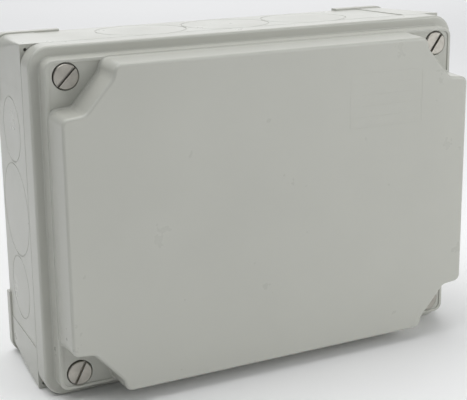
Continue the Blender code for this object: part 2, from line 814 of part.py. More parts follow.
def make_clamp_screw(name, x, z):
    front = TERMINAL_FRONT + 0.0015
    length = TUNNEL_BACK - 0.0034 - front
    profile = (
        (0.0, 0.0), (0.0024, 0.0), (0.0027, 0.0003), (0.0027, length - 0.0006), (0.0021, length),
        (0.0, length),
    )
    screw = turned(name, profile, x, front, z, SCREW_METAL, TINY_ROUND)
    slot = box(f"{name}_slot", (0.0008, 0.0024, 0.0070), (x, front, z))
    slot.rotation_euler = (0.0, math.radians(20), 0.0)
    cut(screw, slot)
    return screw


def make_end_stop(name, x):
    """A short block clamped on the rail at each end of the strip."""
    stop = clip_block(
        f"end_stop_{name}", x, END_STOP_FRONT, END_STOP_HEIGHT / 2, END_STOP_THICKNESS, TERMINAL_GREY
    )
    hole_end = END_STOP_FRONT + 0.010
    cut(
        stop,
        rod(f"stop_hole_{name}", 0.0023, END_STOP_FRONT - 0.010, hole_end, x, 0.0, TINY_ROUND),
    )
    make_pan_screw(
        f"end_stop_screw_{name}", END_STOP_FRONT - 0.0026, x, 0.0, 0.0034, 0.0020, hole_end - 0.001
    )


# ---------------------------------------------------------------- assembly
make_base()
make_lid()
make_gasket()
SLOT_ANGLES = (45, 36, 28, 52)
for (corner, left_right, up_down), slot_turn in zip(CORNERS, SLOT_ANGLES):
    make_lid_screw(corner, left_right, up_down, slot_turn)
    make_screw_seal(corner, left_right, up_down)
    make_tower_insert(corner, left_right, up_down)
    make_fixing_cap(corner, left_right, up_down)
make_plate()
for corner, left_right, up_down in CORNERS:
    make_pan_screw(
        f"plate_screw_{corner}", PLATE_FRONT - 0.0030, left_right * PLATE_SCREW_X,
        up_down * PLATE_SCREW_Z, 0.0040, 0.0018, BASE_FLOOR - 0.0015,
    )
make_rail()
for end_name, direction in (("left", -1), ("right", 1)):
    make_pan_screw(
        f"rail_screw_{end_name}", rail_front() + 0.0036, direction * RAIL_SCREW_X, 0.0,
        0.0038, 0.0016, PLATE_FRONT + 0.0045,
    )
    make_end_stop(end_name, direction * 3.05 * TERMINAL_PITCH)
TERMINAL_LOOKS = (TERMINAL_GREY, TERMINAL_GREY, TERMINAL_GREY, TERMINAL_BLUE, TERMINAL_EARTH)
for index, terminal_look in enumerate(TERMINAL_LOOKS):
    make_terminal(index + 1, (index - 2) * TERMINAL_PITCH, terminal_look)
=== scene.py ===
import math

import bmesh
import bpy
from mathutils import Matrix, Vector


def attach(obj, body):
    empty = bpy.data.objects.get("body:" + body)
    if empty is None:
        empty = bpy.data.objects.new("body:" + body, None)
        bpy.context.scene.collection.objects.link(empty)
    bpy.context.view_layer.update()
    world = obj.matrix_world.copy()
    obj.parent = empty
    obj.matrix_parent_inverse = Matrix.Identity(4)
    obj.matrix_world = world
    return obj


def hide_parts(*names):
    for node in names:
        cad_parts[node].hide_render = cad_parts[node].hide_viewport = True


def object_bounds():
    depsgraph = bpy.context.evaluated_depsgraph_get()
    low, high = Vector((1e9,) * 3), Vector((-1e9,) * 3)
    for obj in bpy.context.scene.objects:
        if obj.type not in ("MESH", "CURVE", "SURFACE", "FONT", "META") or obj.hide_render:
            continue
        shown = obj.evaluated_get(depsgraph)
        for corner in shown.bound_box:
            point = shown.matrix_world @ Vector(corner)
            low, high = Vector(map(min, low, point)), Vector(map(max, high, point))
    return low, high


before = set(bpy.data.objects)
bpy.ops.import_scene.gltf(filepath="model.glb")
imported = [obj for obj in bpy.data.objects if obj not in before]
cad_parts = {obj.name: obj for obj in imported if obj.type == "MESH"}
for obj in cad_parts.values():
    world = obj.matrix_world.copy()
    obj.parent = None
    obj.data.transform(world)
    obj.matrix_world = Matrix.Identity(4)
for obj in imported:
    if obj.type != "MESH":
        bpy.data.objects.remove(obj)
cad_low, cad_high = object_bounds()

# ==================================================================== camera and studio
# The box stands on a pale table top in a plain room. A wide soft lamp hangs over it, a smaller
# weak one stands in front at the right, and a broad one behind it brightens the gloss of its top.

CAMERA_PLACE = (-0.3358, -0.6676, 0.3209)
CAMERA_TURN = -26.326
CAMERA_TIP = -13.845
CAMERA_ROLL = -0.688
camera_data = bpy.data.cameras.new("camera")
camera_data.sensor_width = 36.0
camera_data.lens = 86.21
camera_data.shift_y = -0.10
camera = bpy.data.objects.new("camera", camera_data)
bpy.context.scene.collection.objects.link(camera)
turned = Matrix.Rotation(math.radians(CAMERA_TURN), 4, "Z")
tipped = Matrix.Rotation(math.radians(90 + CAMERA_TIP), 4, "X")
rolled = Matrix.Rotation(math.radians(CAMERA_ROLL), 4, "Z")
camera.matrix_world = Matrix.Translation(CAMERA_PLACE) @ turned @ tipped @ rolled
bpy.context.scene.camera = camera
bpy.context.scene.view_settings.view_transform = "Standard"


def soft_light(name, place, aim, size, power):
    """A rectangular lamp at a place, turned to face a point."""
    lamp = bpy.data.lights.new(name, "AREA")
    lamp.shape = "RECTANGLE"
    lamp.size, lamp.size_y = size
    lamp.energy = power
    holder = bpy.data.objects.new(name, lamp)
    bpy.context.scene.collection.objects.link(holder)
    holder.location = place
    holder.rotation_euler = (Vector(aim) - Vector(place)).to_track_quat("-Z", "Y").to_euler()


BOX_MIDDLE = (cad_low + cad_high) / 2
soft_light("overhead_light", (-0.35, 0.25, 1.90), BOX_MIDDLE, size=(2.2, 2.2), power=34.0)
soft_light("front_light", (0.90, -1.00, 0.60), BOX_MIDDLE, size=(1.0, 0.9), power=7.6)
soft_light("back_light", (1.10, 2.10, 0.75), BOX_MIDDLE, size=(2.4, 1.3), power=10.0)

ROOM_TINT = (0.93, 0.96, 1.0, 1.0)
ROOM_BRIGHTNESS = 0.23
world = bpy.data.worlds.new("room")
world.use_nodes = True
room_light = world.node_tree.nodes["Background"]
room_light.inputs["Color"].default_value = ROOM_TINT
room_light.inputs["Strength"].default_value = ROOM_BRIGHTNESS
bpy.context.scene.world = world

FLOOR_REACH = 6.0
FLOOR_GAP = 0.0002
FLOOR_COLOUR = (0.95, 0.95, 0.95, 1.0)
FLOOR_ROUGHNESS = 0.75
floor_mesh = bmesh.new()
bmesh.ops.create_grid(floor_mesh, x_segments=1, y_segments=1, size=FLOOR_REACH)
floor_data = bpy.data.meshes.new("table_top")
floor_mesh.to_mesh(floor_data)
floor_mesh.free()
floor = bpy.data.objects.new("table_top", floor_data)
floor.location.z = cad_low.z - FLOOR_GAP
bpy.context.scene.collection.objects.link(floor)
floor_look = bpy.data.materials.new("pale_table_top")
floor_look.use_nodes = True
floor_shader = floor_look.node_tree.nodes["Principled BSDF"]
floor_shader.inputs["Base Color"].default_value = FLOOR_COLOUR
floor_shader.inputs["Roughness"].default_value = FLOOR_ROUGHNESS
floor_data.materials.append(floor_look)

# ==================================================================== base housing
# The deep half of the box, moulded in one shot from light grey glass-filled plastic. It has
# square edges at the seal and wide corners at the wall, four screw towers with ribs, four wall
# fixings, four plate bosses, and round grooves where a cable entry can be knocked out.

WIDTH = cad_high.x - cad_low.x
HEIGHT = cad_high.z - cad_low.z
BASE_FRONT = 0.0488
BASE_FLOOR = 0.1150
BASE_BACK = 0.1180
BASE_TAPER = 0.0020
BASE_WALL = 0.0044
FRONT_CORNER = 0.0010
REAR_CORNER = 0.0090
REAR_ROUNDING = 0.0025
SEAL_CORNER = 0.0135
LIP_OUTER = 0.0028
LIP_TOP = 0.0458
LIP_EDGE = 0.0003
LIP_EDGE_DEPTH = 0.0004
FOOT_LENGTH = 0.0450
FOOT_FRONT = 0.1130
CORNER_COLUMN = 0.0280
WALL_RECESS = 0.0004
RECESS_START = 0.0012
TOWER_FRONT = 0.0508
TOWER_RADIUS = 0.0075
TOWER_EDGE = 0.0005
TOWER_SPREAD = 0.0015
RIB_THICKNESS = 0.0024
RIB_DROP = 0.0060
RIB_START = 0.0030
SCREW_X = 0.1340
SCREW_Z = 0.0950
FIXING_X = 0.1230
FIXING_Z = 0.0845
PLATE_SCREW_X = 0.1050
PLATE_SCREW_Z = 0.0700
FIXING_BOSS = 0.0065
FIXING_FRONT = 0.1120
FIXING_HOLE = 0.0028
FIXING_MOUTH = 0.0035
PLATE_BOSS = 0.0050
PLATE_BORE = 0.0022
PLATE_BACK = 0.1083
BOSS_EDGE = 0.0004
BOSS_SPREAD = 0.0012
PEEP_HOLE_INSET = 0.0034
PEEP_HOLE_RADIUS = 0.0010
GATE_MARK_RADIUS = 0.0035
GATE_MARK_WIDTH = 0.0003
# A cutter runs this far past the face it opens, so that no skin is left.
CUT_PAST = 0.002
# Two places closer than this count as one.
TOUCHING = 0.00001
# Each knock-out is given as its place along the wall and its radius.
KNOCKOUT_DEPTH = 0.0825
SIDE_KNOCKOUTS = ((-0.0536, 0.0212), (0.0, 0.0308), (0.0536, 0.0212))
TOP_KNOCKOUTS = ((-0.0620, 0.0302), (0.0, 0.0302), (0.0620, 0.0302))
CORNERS = (("top_left", -1, 1), ("top_right", 1, 1), ("bottom_left", -1, -1), ("bottom_right", 1, -1))


def at(x, depth, z):
    """A place counted from the middle of the lid's front face: across, into the box, and up."""
    return Vector((x, cad_low.y + depth, (cad_low.z + cad_high.z) / 2 + z))


def round_corners(bm, verts, width, segments):
    """Turns corner points of a flat face into arcs."""
    bmesh.ops.bevel(
        bm, geom=verts, offset=width, segments=segments, profile=0.5, affect="VERTICES", material=-1
    )


def rounded_face(bm, margin, radius, depth, segments=8):
    """A flat face that fills the box's outline drawn in by a margin, facing the front."""
    half_x = WIDTH / 2 - margin
    half_z = HEIGHT / 2 - margin
    corners = ((-half_x, -half_z), (half_x, -half_z), (half_x, half_z), (-half_x, half_z))
    verts = [bm.verts.new(at(x, depth, z)) for x, z in corners]
    old = set(bm.faces)
    bm.faces.new(verts)
    round_corners(bm, verts, radius, segments)
    return next(face for face in bm.faces if face not in old)


def loft(sections, segments=8):
    """A closed body through rounded outlines, each given as (margin, corner radius, depth)."""
    bm = bmesh.new()
    faces = [rounded_face(bm, margin, radius, depth, segments) for margin, radius, depth in sections]
    for near, far in zip(faces, faces[1:]):
        bmesh.ops.bridge_loops(bm, edges=list(near.edges) + list(far.edges))
    bmesh.ops.delete(bm, geom=faces[1:-1], context="FACES_ONLY")
    return bm


def turn(bm, profile, x, z, steps=32, closed=False):
    """Spins a profile of (radius, depth) points round an axis that runs into the box.

    The two ends get flat caps, unless the profile is closed into a ring.
    """
    before = set(bm.edges)
    verts = [bm.verts.new(at(x + radius, depth, z)) for radius, depth in profile]
    following = verts[1:] + verts[:1] if closed else verts[1:]
    edges = [bm.edges.new(pair) for pair in zip(verts, following)]
    bmesh.ops.spin(
        bm, geom=verts + edges, cent=at(x, 0, z), axis=(0, 1, 0), angle=math.tau, steps=steps,
        use_merge=True, use_duplicate=False,
    )
    if not closed:
        rims = [edge for edge in bm.edges if edge not in before and len(edge.link_faces) == 1]
        bmesh.ops.edgeloop_fill(bm, edges=rims)


def pin(bm, radius, front, back, x, z, steps=32):
    """A plain round bar that runs into the box."""
    turn(bm, ((radius, front), (radius, back)), x, z, steps)


def block(bm, size, centre, turned=None):
    """A block of size (across, into, up) round a centre, turned about it if asked."""
    made = bmesh.ops.create_cube(bm, size=1.0)["verts"]
    bmesh.ops.scale(bm, vec=size, verts=made)
    if turned is not None:
        bmesh.ops.rotate(bm, cent=(0, 0, 0), matrix=turned, verts=made)
    bmesh.ops.translate(bm, vec=at(*centre), verts=made)
    return made


def shape(name, bm):
    """Closes the seams of a bmesh, points its faces out and makes it an object."""
    bmesh.ops.remove_doubles(bm, verts=bm.verts, dist=0.000001)
    bmesh.ops.recalc_face_normals(bm, faces=bm.faces)
    mesh = bpy.data.meshes.new(name)
    bm.to_mesh(mesh)
    bm.free()
    made = bpy.data.objects.new(name, mesh)
    bpy.context.scene.collection.objects.link(made)
    return made


def carve(body, tool_mesh, operation="DIFFERENCE"):
    """Takes a tool away from a body, or adds it, and keeps only the result."""
    tool = shape("tool", tool_mesh)
    step = body.modifiers.new("carve", "BOOLEAN")
    step.operation = operation
    step.solver = "EXACT"
    step.object = tool
    bpy.context.view_layer.update()
    carved = bpy.data.meshes.new_from_object(body.evaluated_get(bpy.context.evaluated_depsgraph_get()))
    body.modifiers.clear()
    body.data = carved
    bpy.data.objects.remove(tool)


def smooth(body, sharp_angle=32):
    """Shades round stretches smooth and keeps flat faces flat."""
    body.data.shade_smooth()
    body.data.set_sharp_from_angle(angle=math.radians(sharp_angle))
    flatten = body.modifiers.new("flat_faces", "WEIGHTED_NORMAL")
    flatten.keep_sharp = True
    flatten.weight = 90


def ease(share):
    """A share from 0 to 1 that starts and ends gently."""
    return share * share * (3 - 2 * share)


def shader_node(tree, kind, inputs=None, **settings):
    """A shader node with its input values and settings."""
    made = tree.nodes.new(kind)
    for key, value in settings.items():
        setattr(made, key, value)
    for key, value in (inputs or {}).items():
        made.inputs[key].default_value = value
    return made


def noise(tree, coordinates, scale, detail=2.0, roughness=0.5):
    """A noise pattern on the piece, with a scale counted in waves to the metre."""
    made = shader_node(tree, "ShaderNodeTexNoise", {"Scale": scale, "Detail": detail, "Roughness": roughness})
    tree.links.new(coordinates, made.inputs["Vector"])
    return made.outputs["Fac"]


def spread(tree, value, low, high, to_low, to_high):
    """Stretches the part of a value between low and high over a new range."""
    made = shader_node(tree, "ShaderNodeMapRange", {
        "From Min": low, "From Max": high, "To Min": to_low, "To Max": to_high
    })
    tree.links.new(value, made.inputs["Value"])
    return made.outputs["Result"]


def blended(tree, factor, first, second):
    """A colour between two others; each is a colour or the output of a node."""
    made = shader_node(tree, "ShaderNodeMix", data_type="RGBA")
    tree.links.new(factor, made.inputs["Factor"])
    for socket, colour in (("A", first), ("B", second)):
        target = next(i for i in made.inputs if i.name == socket and i.type == "RGBA")
        if isinstance(colour, tuple):
            target.default_value = (*colour, 1.0)
        else:
            tree.links.new(colour, target)
    return next(o for o in made.outputs if o.type == "RGBA")


def tinted(colour, factor):
    """A colour made paler or darker by a factor."""
    return tuple(min(1.0, channel * factor) for channel in colour)


def bumps(tree, *layers):
    """A normal from heights laid over each other, each given as (height, distance)."""
    normal = None
    for height, distance in layers:
        made = shader_node(tree, "ShaderNodeBump", {"Strength": 1.0, "Distance": distance})
        tree.links.new(height, made.inputs["Height"])
        if normal is not None:
            tree.links.new(normal, made.inputs["Normal"])
        normal = made.outputs["Normal"]
    return normal


def edge_mask(tree, radius):
    """Nearly 0 on flat faces and 1 on the edges, where a surface rubs and shines."""
    softened = shader_node(tree, "ShaderNodeBevel", {"Radius": radius}, samples=4)
    geometry = shader_node(tree, "ShaderNodeNewGeometry")
    likeness = shader_node(tree, "ShaderNodeVectorMath", operation="DOT_PRODUCT")
    tree.links.new(softened.outputs["Normal"], likeness.inputs[0])
    tree.links.new(geometry.outputs["Normal"], likeness.inputs[1])
    return spread(tree, likeness.outputs["Value"], 0.80, 0.99, 1.0, 0.0)


def crevice_mask(tree, reach):
    """1 in tight corners, where little light reaches, and 0 in the open. Darkening a colour by it paints
    shade there; paling a colour by it lays dust.
    """
    shut_in = shader_node(tree, "ShaderNodeAmbientOcclusion", {"Distance": reach}, samples=6, only_local=True)
    return spread(tree, shut_in.outputs["AO"], 0.35, 0.85, 1.0, 0.0)


def moulded(name, colour, gloss, grain, worn=1.06, corner_shade=0.90):
    """Moulded plastic: faint flow clouds, fine grain, polished edges and painted shade in the corners."""
    look = bpy.data.materials.new(name)
    look.use_nodes = True
    tree = look.node_tree
    shader = tree.nodes["Principled BSDF"]
    coordinates = shader_node(tree, "ShaderNodeTexCoord").outputs["Object"]
    clouds = spread(tree, noise(tree, coordinates, 11.0, detail=3.0), 0.3, 0.7, 0.0, 1.0)
    shown = blended(tree, clouds, tinted(colour, 0.975), tinted(colour, 1.02))
    shown = blended(tree, edge_mask(tree, radius=0.0007), shown, tinted(colour, worn))
    # Painted shade: the colour is darkened in tight corners, where less light reaches.
    shown = blended(tree, crevice_mask(tree, reach=0.006), shown, tinted(colour, corner_shade))
    tree.links.new(shown, shader.inputs["Base Color"])
    smears = noise(tree, coordinates, 38.0, detail=4.0, roughness=0.6)
    tree.links.new(spread(tree, smears, 0.3, 0.7, gloss - 0.03, gloss + 0.04), shader.inputs["Roughness"])
    normal = bumps(
        tree,
        (noise(tree, coordinates, 14.0, detail=1.0), 0.00010),
        (noise(tree, coordinates, 1.0 / grain, detail=2.0), grain * 0.004),
    )
    tree.links.new(normal, shader.inputs["Normal"])
    shader.inputs["IOR"].default_value = 1.5
    return look


def dress(piece, look, body, slot, *nodes):
    """Gives a finished piece its material and its moving body, and hides the CAD nodes it stands for."""
    piece.data.materials.clear()
    piece.data.materials.append(look)
    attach(piece, body)
    if nodes:
        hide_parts(*nodes)


wall_sections = [(0.0, FRONT_CORNER, BASE_FRONT)]
WALL_END = BASE_BACK - REAR_ROUNDING
WALL_STEPS = 8
ROUNDING_ANGLES = (30, 60, 90)
for count in range(1, WALL_STEPS + 1):
    share = count / WALL_STEPS
    wall_sections.append((
        BASE_TAPER * share,
        FRONT_CORNER + (REAR_CORNER - FRONT_CORNER) * ease(share),
        BASE_FRONT + (WALL_END - BASE_FRONT) * share,
    ))
for angle in ROUNDING_ANGLES:
    bite = REAR_ROUNDING * (1 - math.cos(math.radians(angle)))
    wall_sections.append((
        BASE_TAPER + bite, REAR_CORNER - bite, WALL_END + REAR_ROUNDING * math.sin(math.radians(angle))
    ))
base = shape("housing_base", loft(wall_sections))

LEAN = math.atan(BASE_TAPER / (BASE_BACK - BASE_FRONT))


def wall_inset(depth):
    """How far the tapered wall has drawn in at a depth."""
    return BASE_TAPER * (depth - BASE_FRONT) / (BASE_BACK - BASE_FRONT)


recesses = bmesh.new()
recess_start = BASE_FRONT + RECESS_START
recess_run = BASE_BACK + CUT_PAST - recess_start
recess_middle = recess_start + recess_run / 2
RECESS_TOOL = 0.010
reach = RECESS_TOOL / 2 - WALL_RECESS - wall_inset(recess_middle)
for side in (-1, 1):
    block(
        recesses, (RECESS_TOOL, recess_run, HEIGHT - 2 * CORNER_COLUMN),
        (side * (WIDTH / 2 + reach), recess_middle, 0.0), Matrix.Rotation(side * LEAN, 3, "Z"),
    )
    block(
        recesses, (WIDTH - 2 * CORNER_COLUMN, recess_run, RECESS_TOOL),
        (0.0, recess_middle, side * (HEIGHT / 2 + reach)), Matrix.Rotation(-side * LEAN, 3, "X"),
    )
carve(base, recesses)

feet = bmesh.new()
FOOT_EDGE = 0.0008
FOOT_INSET = 0.0009
foot_depth = cad_high.y - cad_low.y - FOOT_FRONT
for _, side_x, side_z in CORNERS:
    foot = block(feet, (FOOT_LENGTH, foot_depth, FOOT_LENGTH), (
        side_x * ((WIDTH - FOOT_LENGTH) / 2 - FOOT_INSET), FOOT_FRONT + foot_depth / 2,
        side_z * ((HEIGHT - FOOT_LENGTH) / 2 - FOOT_INSET * (side_z > 0)),
    ))
    middle = sum((vert.co for vert in foot), Vector()) / len(foot)
    foot_edges = dict.fromkeys(edge for vert in foot for edge in vert.link_edges)
    outer = [
        edge for edge in foot_edges
        if all((v.co.x - middle.x) * side_x > 0 and (v.co.z - middle.z) * side_z > 0 for v in edge.verts)
    ]
    bmesh.ops.bevel(
        feet, geom=outer, offset=REAR_CORNER, segments=8, profile=0.5, affect="EDGES", material=-1
    )
foot_planes = (cad_high.y, at(0, FOOT_FRONT, 0).y)
foot_rims = [
    edge for edge in feet.edges
    if any(all(abs(v.co.y - plane) < TOUCHING for v in edge.verts) for plane in foot_planes)
]
bmesh.ops.bevel(
    feet, geom=foot_rims, offset=FOOT_EDGE, segments=3, profile=0.5, affect="EDGES", material=-1
)
carve(base, feet, "UNION")

lip_corner = SEAL_CORNER - LIP_OUTER
carve(base, loft((
    (LIP_OUTER + LIP_EDGE, lip_corner - LIP_EDGE, LIP_TOP),
    (LIP_OUTER, lip_corner, LIP_TOP + LIP_EDGE_DEPTH),
    (LIP_OUTER, lip_corner, BASE_FRONT + CUT_PAST),
)), "UNION")

FLOOR_FILLET = 0.0020
floor_margin = BASE_WALL + 0.0008
floor_corner = REAR_CORNER - 0.0010
cavity_corner = SEAL_CORNER - BASE_WALL
cavity_sections = [
    (BASE_WALL, cavity_corner, LIP_TOP - CUT_PAST),
    (BASE_WALL, cavity_corner, BASE_FRONT),
    (floor_margin, floor_corner, BASE_FLOOR - FLOOR_FILLET),
]
for angle in ROUNDING_ANGLES:
    bite = FLOOR_FILLET * (1 - math.cos(math.radians(angle)))
    cavity_sections.append((
        floor_margin + bite,
        floor_corner - bite,
        BASE_FLOOR - FLOOR_FILLET * (1 - math.sin(math.radians(angle))),
    ))
carve(base, loft(cavity_sections))

posts = bmesh.new()
BURIED = BASE_FLOOR + 0.0010
for _, side_x, side_z in CORNERS:
    turn(posts, (
        (TOWER_RADIUS - TOWER_EDGE, TOWER_FRONT), (TOWER_RADIUS, TOWER_FRONT + TOWER_EDGE),
        (TOWER_RADIUS, BASE_FLOOR - TOWER_SPREAD), (TOWER_RADIUS + TOWER_SPREAD, BURIED),
    ), side_x * SCREW_X, side_z * SCREW_Z)
    turn(posts, (
        (FIXING_BOSS - BOSS_EDGE, FIXING_FRONT), (FIXING_BOSS, FIXING_FRONT + BOSS_EDGE),
        (FIXING_BOSS, BURIED),
    ), side_x * FIXING_X, side_z * FIXING_Z)
    turn(posts, (
        (PLATE_BOSS - BOSS_EDGE, PLATE_BACK), (PLATE_BOSS, PLATE_BACK + BOSS_EDGE),
        (PLATE_BOSS, BASE_FLOOR - BOSS_SPREAD), (PLATE_BOSS + BOSS_SPREAD, BURIED),
    ), side_x * PLATE_SCREW_X, side_z * PLATE_SCREW_Z)
carve(base, posts, "UNION")

ribs = bmesh.new()
rib_front = TOWER_FRONT + RIB_DROP
rib_depth = BURIED - rib_front
wall_x = WIDTH / 2 - BASE_WALL / 2
wall_z = HEIGHT / 2 - BASE_WALL / 2
for _, side_x, side_z in CORNERS:
    block(ribs, (wall_x - SCREW_X - RIB_START, rib_depth, RIB_THICKNESS), (
        side_x * (wall_x + SCREW_X + RIB_START) / 2, rib_front + rib_depth / 2, side_z * SCREW_Z,
    ))
    block(ribs, (RIB_THICKNESS, rib_depth, wall_z - SCREW_Z - RIB_START), (
        side_x * SCREW_X, rib_front + rib_depth / 2, side_z * (wall_z + SCREW_Z + RIB_START) / 2,
    ))
carve(base, ribs, "UNION")

# Radii and depths behind the tower's or the fixing boss's front, or behind the foot's back.
TOWER_BORE = (
    (0.0056, -0.0080), (0.0056, -0.0001), (0.0049, 0.0006),
    (0.0049, 0.0146), (0.0036, 0.0146), (0.0036, 0.0320),
)
FIXING_BORE_FRONT = ((FIXING_MOUTH, -0.0100), (FIXING_MOUTH, -0.0001), (FIXING_HOLE, 0.0006))
FIXING_BORE_BACK = ((FIXING_HOLE, -0.0006), (0.0036, 0.0001), (0.0036, 0.0070))
SMALL_BORE_STEPS = 20


def behind(front, profile):
    """A profile of (radius, depth) points whose depths are counted from a front."""
    return [(radius, front + depth) for radius, depth in profile]


bores = bmesh.new()
FOOT_BACK = cad_high.y - cad_low.y
for _, side_x, side_z in CORNERS:
    turn(bores, behind(TOWER_FRONT, TOWER_BORE), side_x * SCREW_X, side_z * SCREW_Z)
    turn(
        bores, behind(FIXING_FRONT, FIXING_BORE_FRONT) + behind(FOOT_BACK, FIXING_BORE_BACK),
        side_x * FIXING_X, side_z * FIXING_Z,
    )
    pin(
        bores, PLATE_BORE, PLATE_BACK - 0.0060, BASE_FLOOR - 0.0005,
        side_x * PLATE_SCREW_X, side_z * PLATE_SCREW_Z, SMALL_BORE_STEPS,
    )
    pin(
        bores, PEEP_HOLE_RADIUS, BASE_FRONT - 0.0060, BASE_FRONT + 0.0080,
        side_x * (WIDTH / 2 - PEEP_HOLE_INSET), side_z * (HEIGHT / 2 - PEEP_HOLE_INSET), SMALL_BORE_STEPS,
    )
carve(base, bores)


def ring(bm, radius, thickness, place, turned, steps=64):
    """A round cord laid in a circle, which cuts a half-round groove where it meets a wall."""
    before = set(bm.verts)
    section = bmesh.ops.create_circle(bm, segments=8, radius=thickness)["verts"]
    bmesh.ops.rotate(bm, cent=(0, 0, 0), matrix=Matrix.Rotation(math.radians(90), 3, "X"), verts=section)
    bmesh.ops.translate(bm, vec=(radius, 0, 0), verts=section)
    edges = list(dict.fromkeys(edge for vert in section for edge in vert.link_edges))
    bmesh.ops.spin(
        bm, geom=section + edges, cent=(0, 0, 0), axis=(0, 0, 1), angle=math.tau, steps=steps,
        use_merge=True, use_duplicate=False,
    )
    made = [vert for vert in bm.verts if vert not in before]
    bmesh.ops.rotate(bm, cent=(0, 0, 0), matrix=turned, verts=made)
    bmesh.ops.translate(bm, vec=place, verts=made)


grooves = bmesh.new()
GROOVE = 0.00045
knockout_inset = wall_inset(KNOCKOUT_DEPTH) + WALL_RECESS
for side in (-1, 1):
    for z, radius in SIDE_KNOCKOUTS:
        ring(
            grooves, radius, GROOVE, at(side * (WIDTH / 2 - knockout_inset), KNOCKOUT_DEPTH, z),
            Matrix.Rotation(side * LEAN, 3, "Z") @ Matrix.Rotation(math.radians(90), 3, "Y"),
        )
    for x, radius in TOP_KNOCKOUTS:
        ring(
            grooves, radius, GROOVE, at(x, KNOCKOUT_DEPTH, side * (HEIGHT / 2 - knockout_inset)),
            Matrix.Rotation(-side * LEAN, 3, "X"),
        )
facing_back = Matrix.Rotation(math.radians(90), 3, "X")
ring(grooves, GATE_MARK_RADIUS, GATE_MARK_WIDTH, at(0, BASE_BACK, 0), facing_back, 32)
carve(base, grooves)
smooth(base)
LIGHT_GREY = (0.505, 0.508, 0.460)
grey_plastic = moulded("grey_plastic", LIGHT_GREY, gloss=0.30, grain=0.0006)
dress(base, grey_plastic, "base", "grey_plastic", "base_housing")

# ==================================================================== lid
# The cover, one moulded shell of the same plastic. A rim covers the seal, a low plateau round it
# carries the four screws in their pockets, and a deep raised panel fills the middle, with a
# notch at each corner that leaves room for a screwdriver.

PLATEAU = 0.0229
RIM = 0.0331
RIM_BACK = 0.0482
RIM_ROUNDING = 0.0018
SHOULDER_MARGIN = 0.0069
SHOULDER_FILLET = 0.0010
SHOULDER_ROUNDING = 0.0012
SHOULDER_DRAFT = 0.0002
SHOULDER_WALL = 0.0030
PANEL_MARGIN = 0.0080
PANEL_DRAFT = 0.0437
PANEL_FILLET = 0.0012
PANEL_ROUNDING = 0.0021
# The notch's points, counted inwards from the panel's corner across and up.
NOTCH = ((0.0, 0.0298), (0.0148, 0.0284), (0.0328, 0.0080), (0.0342, 0.0))
NOTCH_OUTER_RADIUS = 0.0050
NOTCH_INNER_RADIUS = 0.0022
LID_WALL = 0.0028
INNER_ROUNDING = 0.0010
CHANNEL_OUTER = 0.0020
CHANNEL_INNER = 0.0054
CHANNEL_FLOOR = 0.0414
HEAD_POCKET = 0.0084
POCKET_FLOOR = 0.0277
SCREW_BORE = 0.0036


def climb(bm, face, steps):
    """Raises a face to the front in steps of (drawn in, raised), leaving walls behind it."""
    for inwards, upwards in steps:
        bmesh.ops.inset_individual(
            bm, faces=[face], thickness=inwards, depth=upwards, use_even_offset=True
        )


def round_over(radius, segments):
    """Steps that turn a wall into a flat top over a quarter round."""
    angles = [math.radians(90 * count / segments) for count in range(segments + 1)]
    return [
        (radius * (math.cos(low) - math.cos(high)), radius * (math.sin(high) - math.sin(low)))
        for low, high in zip(angles, angles[1:])
    ]


def fillet(radius, segments):
    """Steps that turn a flat into a wall through a hollow quarter round."""
    return [(upwards, inwards) for inwards, upwards in round_over(radius, segments)]


def notched_face(bm, depth, drawn_in, segments=8):
    """The raised panel's outline as a flat face, with a notch at each corner, facing the front."""
    half_x = WIDTH / 2 - PANEL_MARGIN
    half_z = HEIGHT / 2 - PANEL_MARGIN
    verts = []
    for side_x, side_z, order in ((1, 1, 1), (-1, 1, -1), (-1, -1, 1), (1, -1, -1)):
        for inward_x, inward_z in NOTCH[::order]:
            verts.append(bm.verts.new(at(side_x * (half_x - inward_x), depth, side_z * (half_z - inward_z))))
    old = set(bm.faces)
    bm.faces.new(verts)
    outer = [vert for count, vert in enumerate(verts) if count % 4 in (0, 3)]
    inner = [vert for count, vert in enumerate(verts) if count % 4 in (1, 2)]
    round_corners(bm, outer, NOTCH_OUTER_RADIUS, segments)
    round_corners(bm, inner, NOTCH_INNER_RADIUS, segments)
    face = next(face for face in bm.faces if face not in old)
    if drawn_in:
        ring_faces = bmesh.ops.inset_individual(
            bm, faces=[face], thickness=drawn_in, depth=0.0, use_even_offset=True
        )["faces"]
        bmesh.ops.delete(bm, geom=ring_faces, context="FACES")
    return face


def close_back(bm):
    """Closes the open outline a climb started from."""
    bmesh.ops.holes_fill(bm, edges=bm.edges, sides=0)


cover = bmesh.new()
rim_face = rounded_face(cover, 0.0, SEAL_CORNER, RIM_BACK, 12)
shoulder_height = RIM - PLATEAU - SHOULDER_FILLET - SHOULDER_ROUNDING
climb(cover, rim_face, [(0.0, RIM_BACK - RIM - RIM_ROUNDING)])
climb(cover, rim_face, round_over(RIM_ROUNDING, 5))
climb(cover, rim_face, [(SHOULDER_MARGIN - RIM_ROUNDING - SHOULDER_FILLET - SHOULDER_DRAFT, 0.0)])
climb(cover, rim_face, fillet(SHOULDER_FILLET, 4))
climb(cover, rim_face, [(SHOULDER_DRAFT, shoulder_height)])
climb(cover, rim_face, round_over(SHOULDER_ROUNDING, 4))
close_back(cover)
lid = shape("lid_cover", cover)

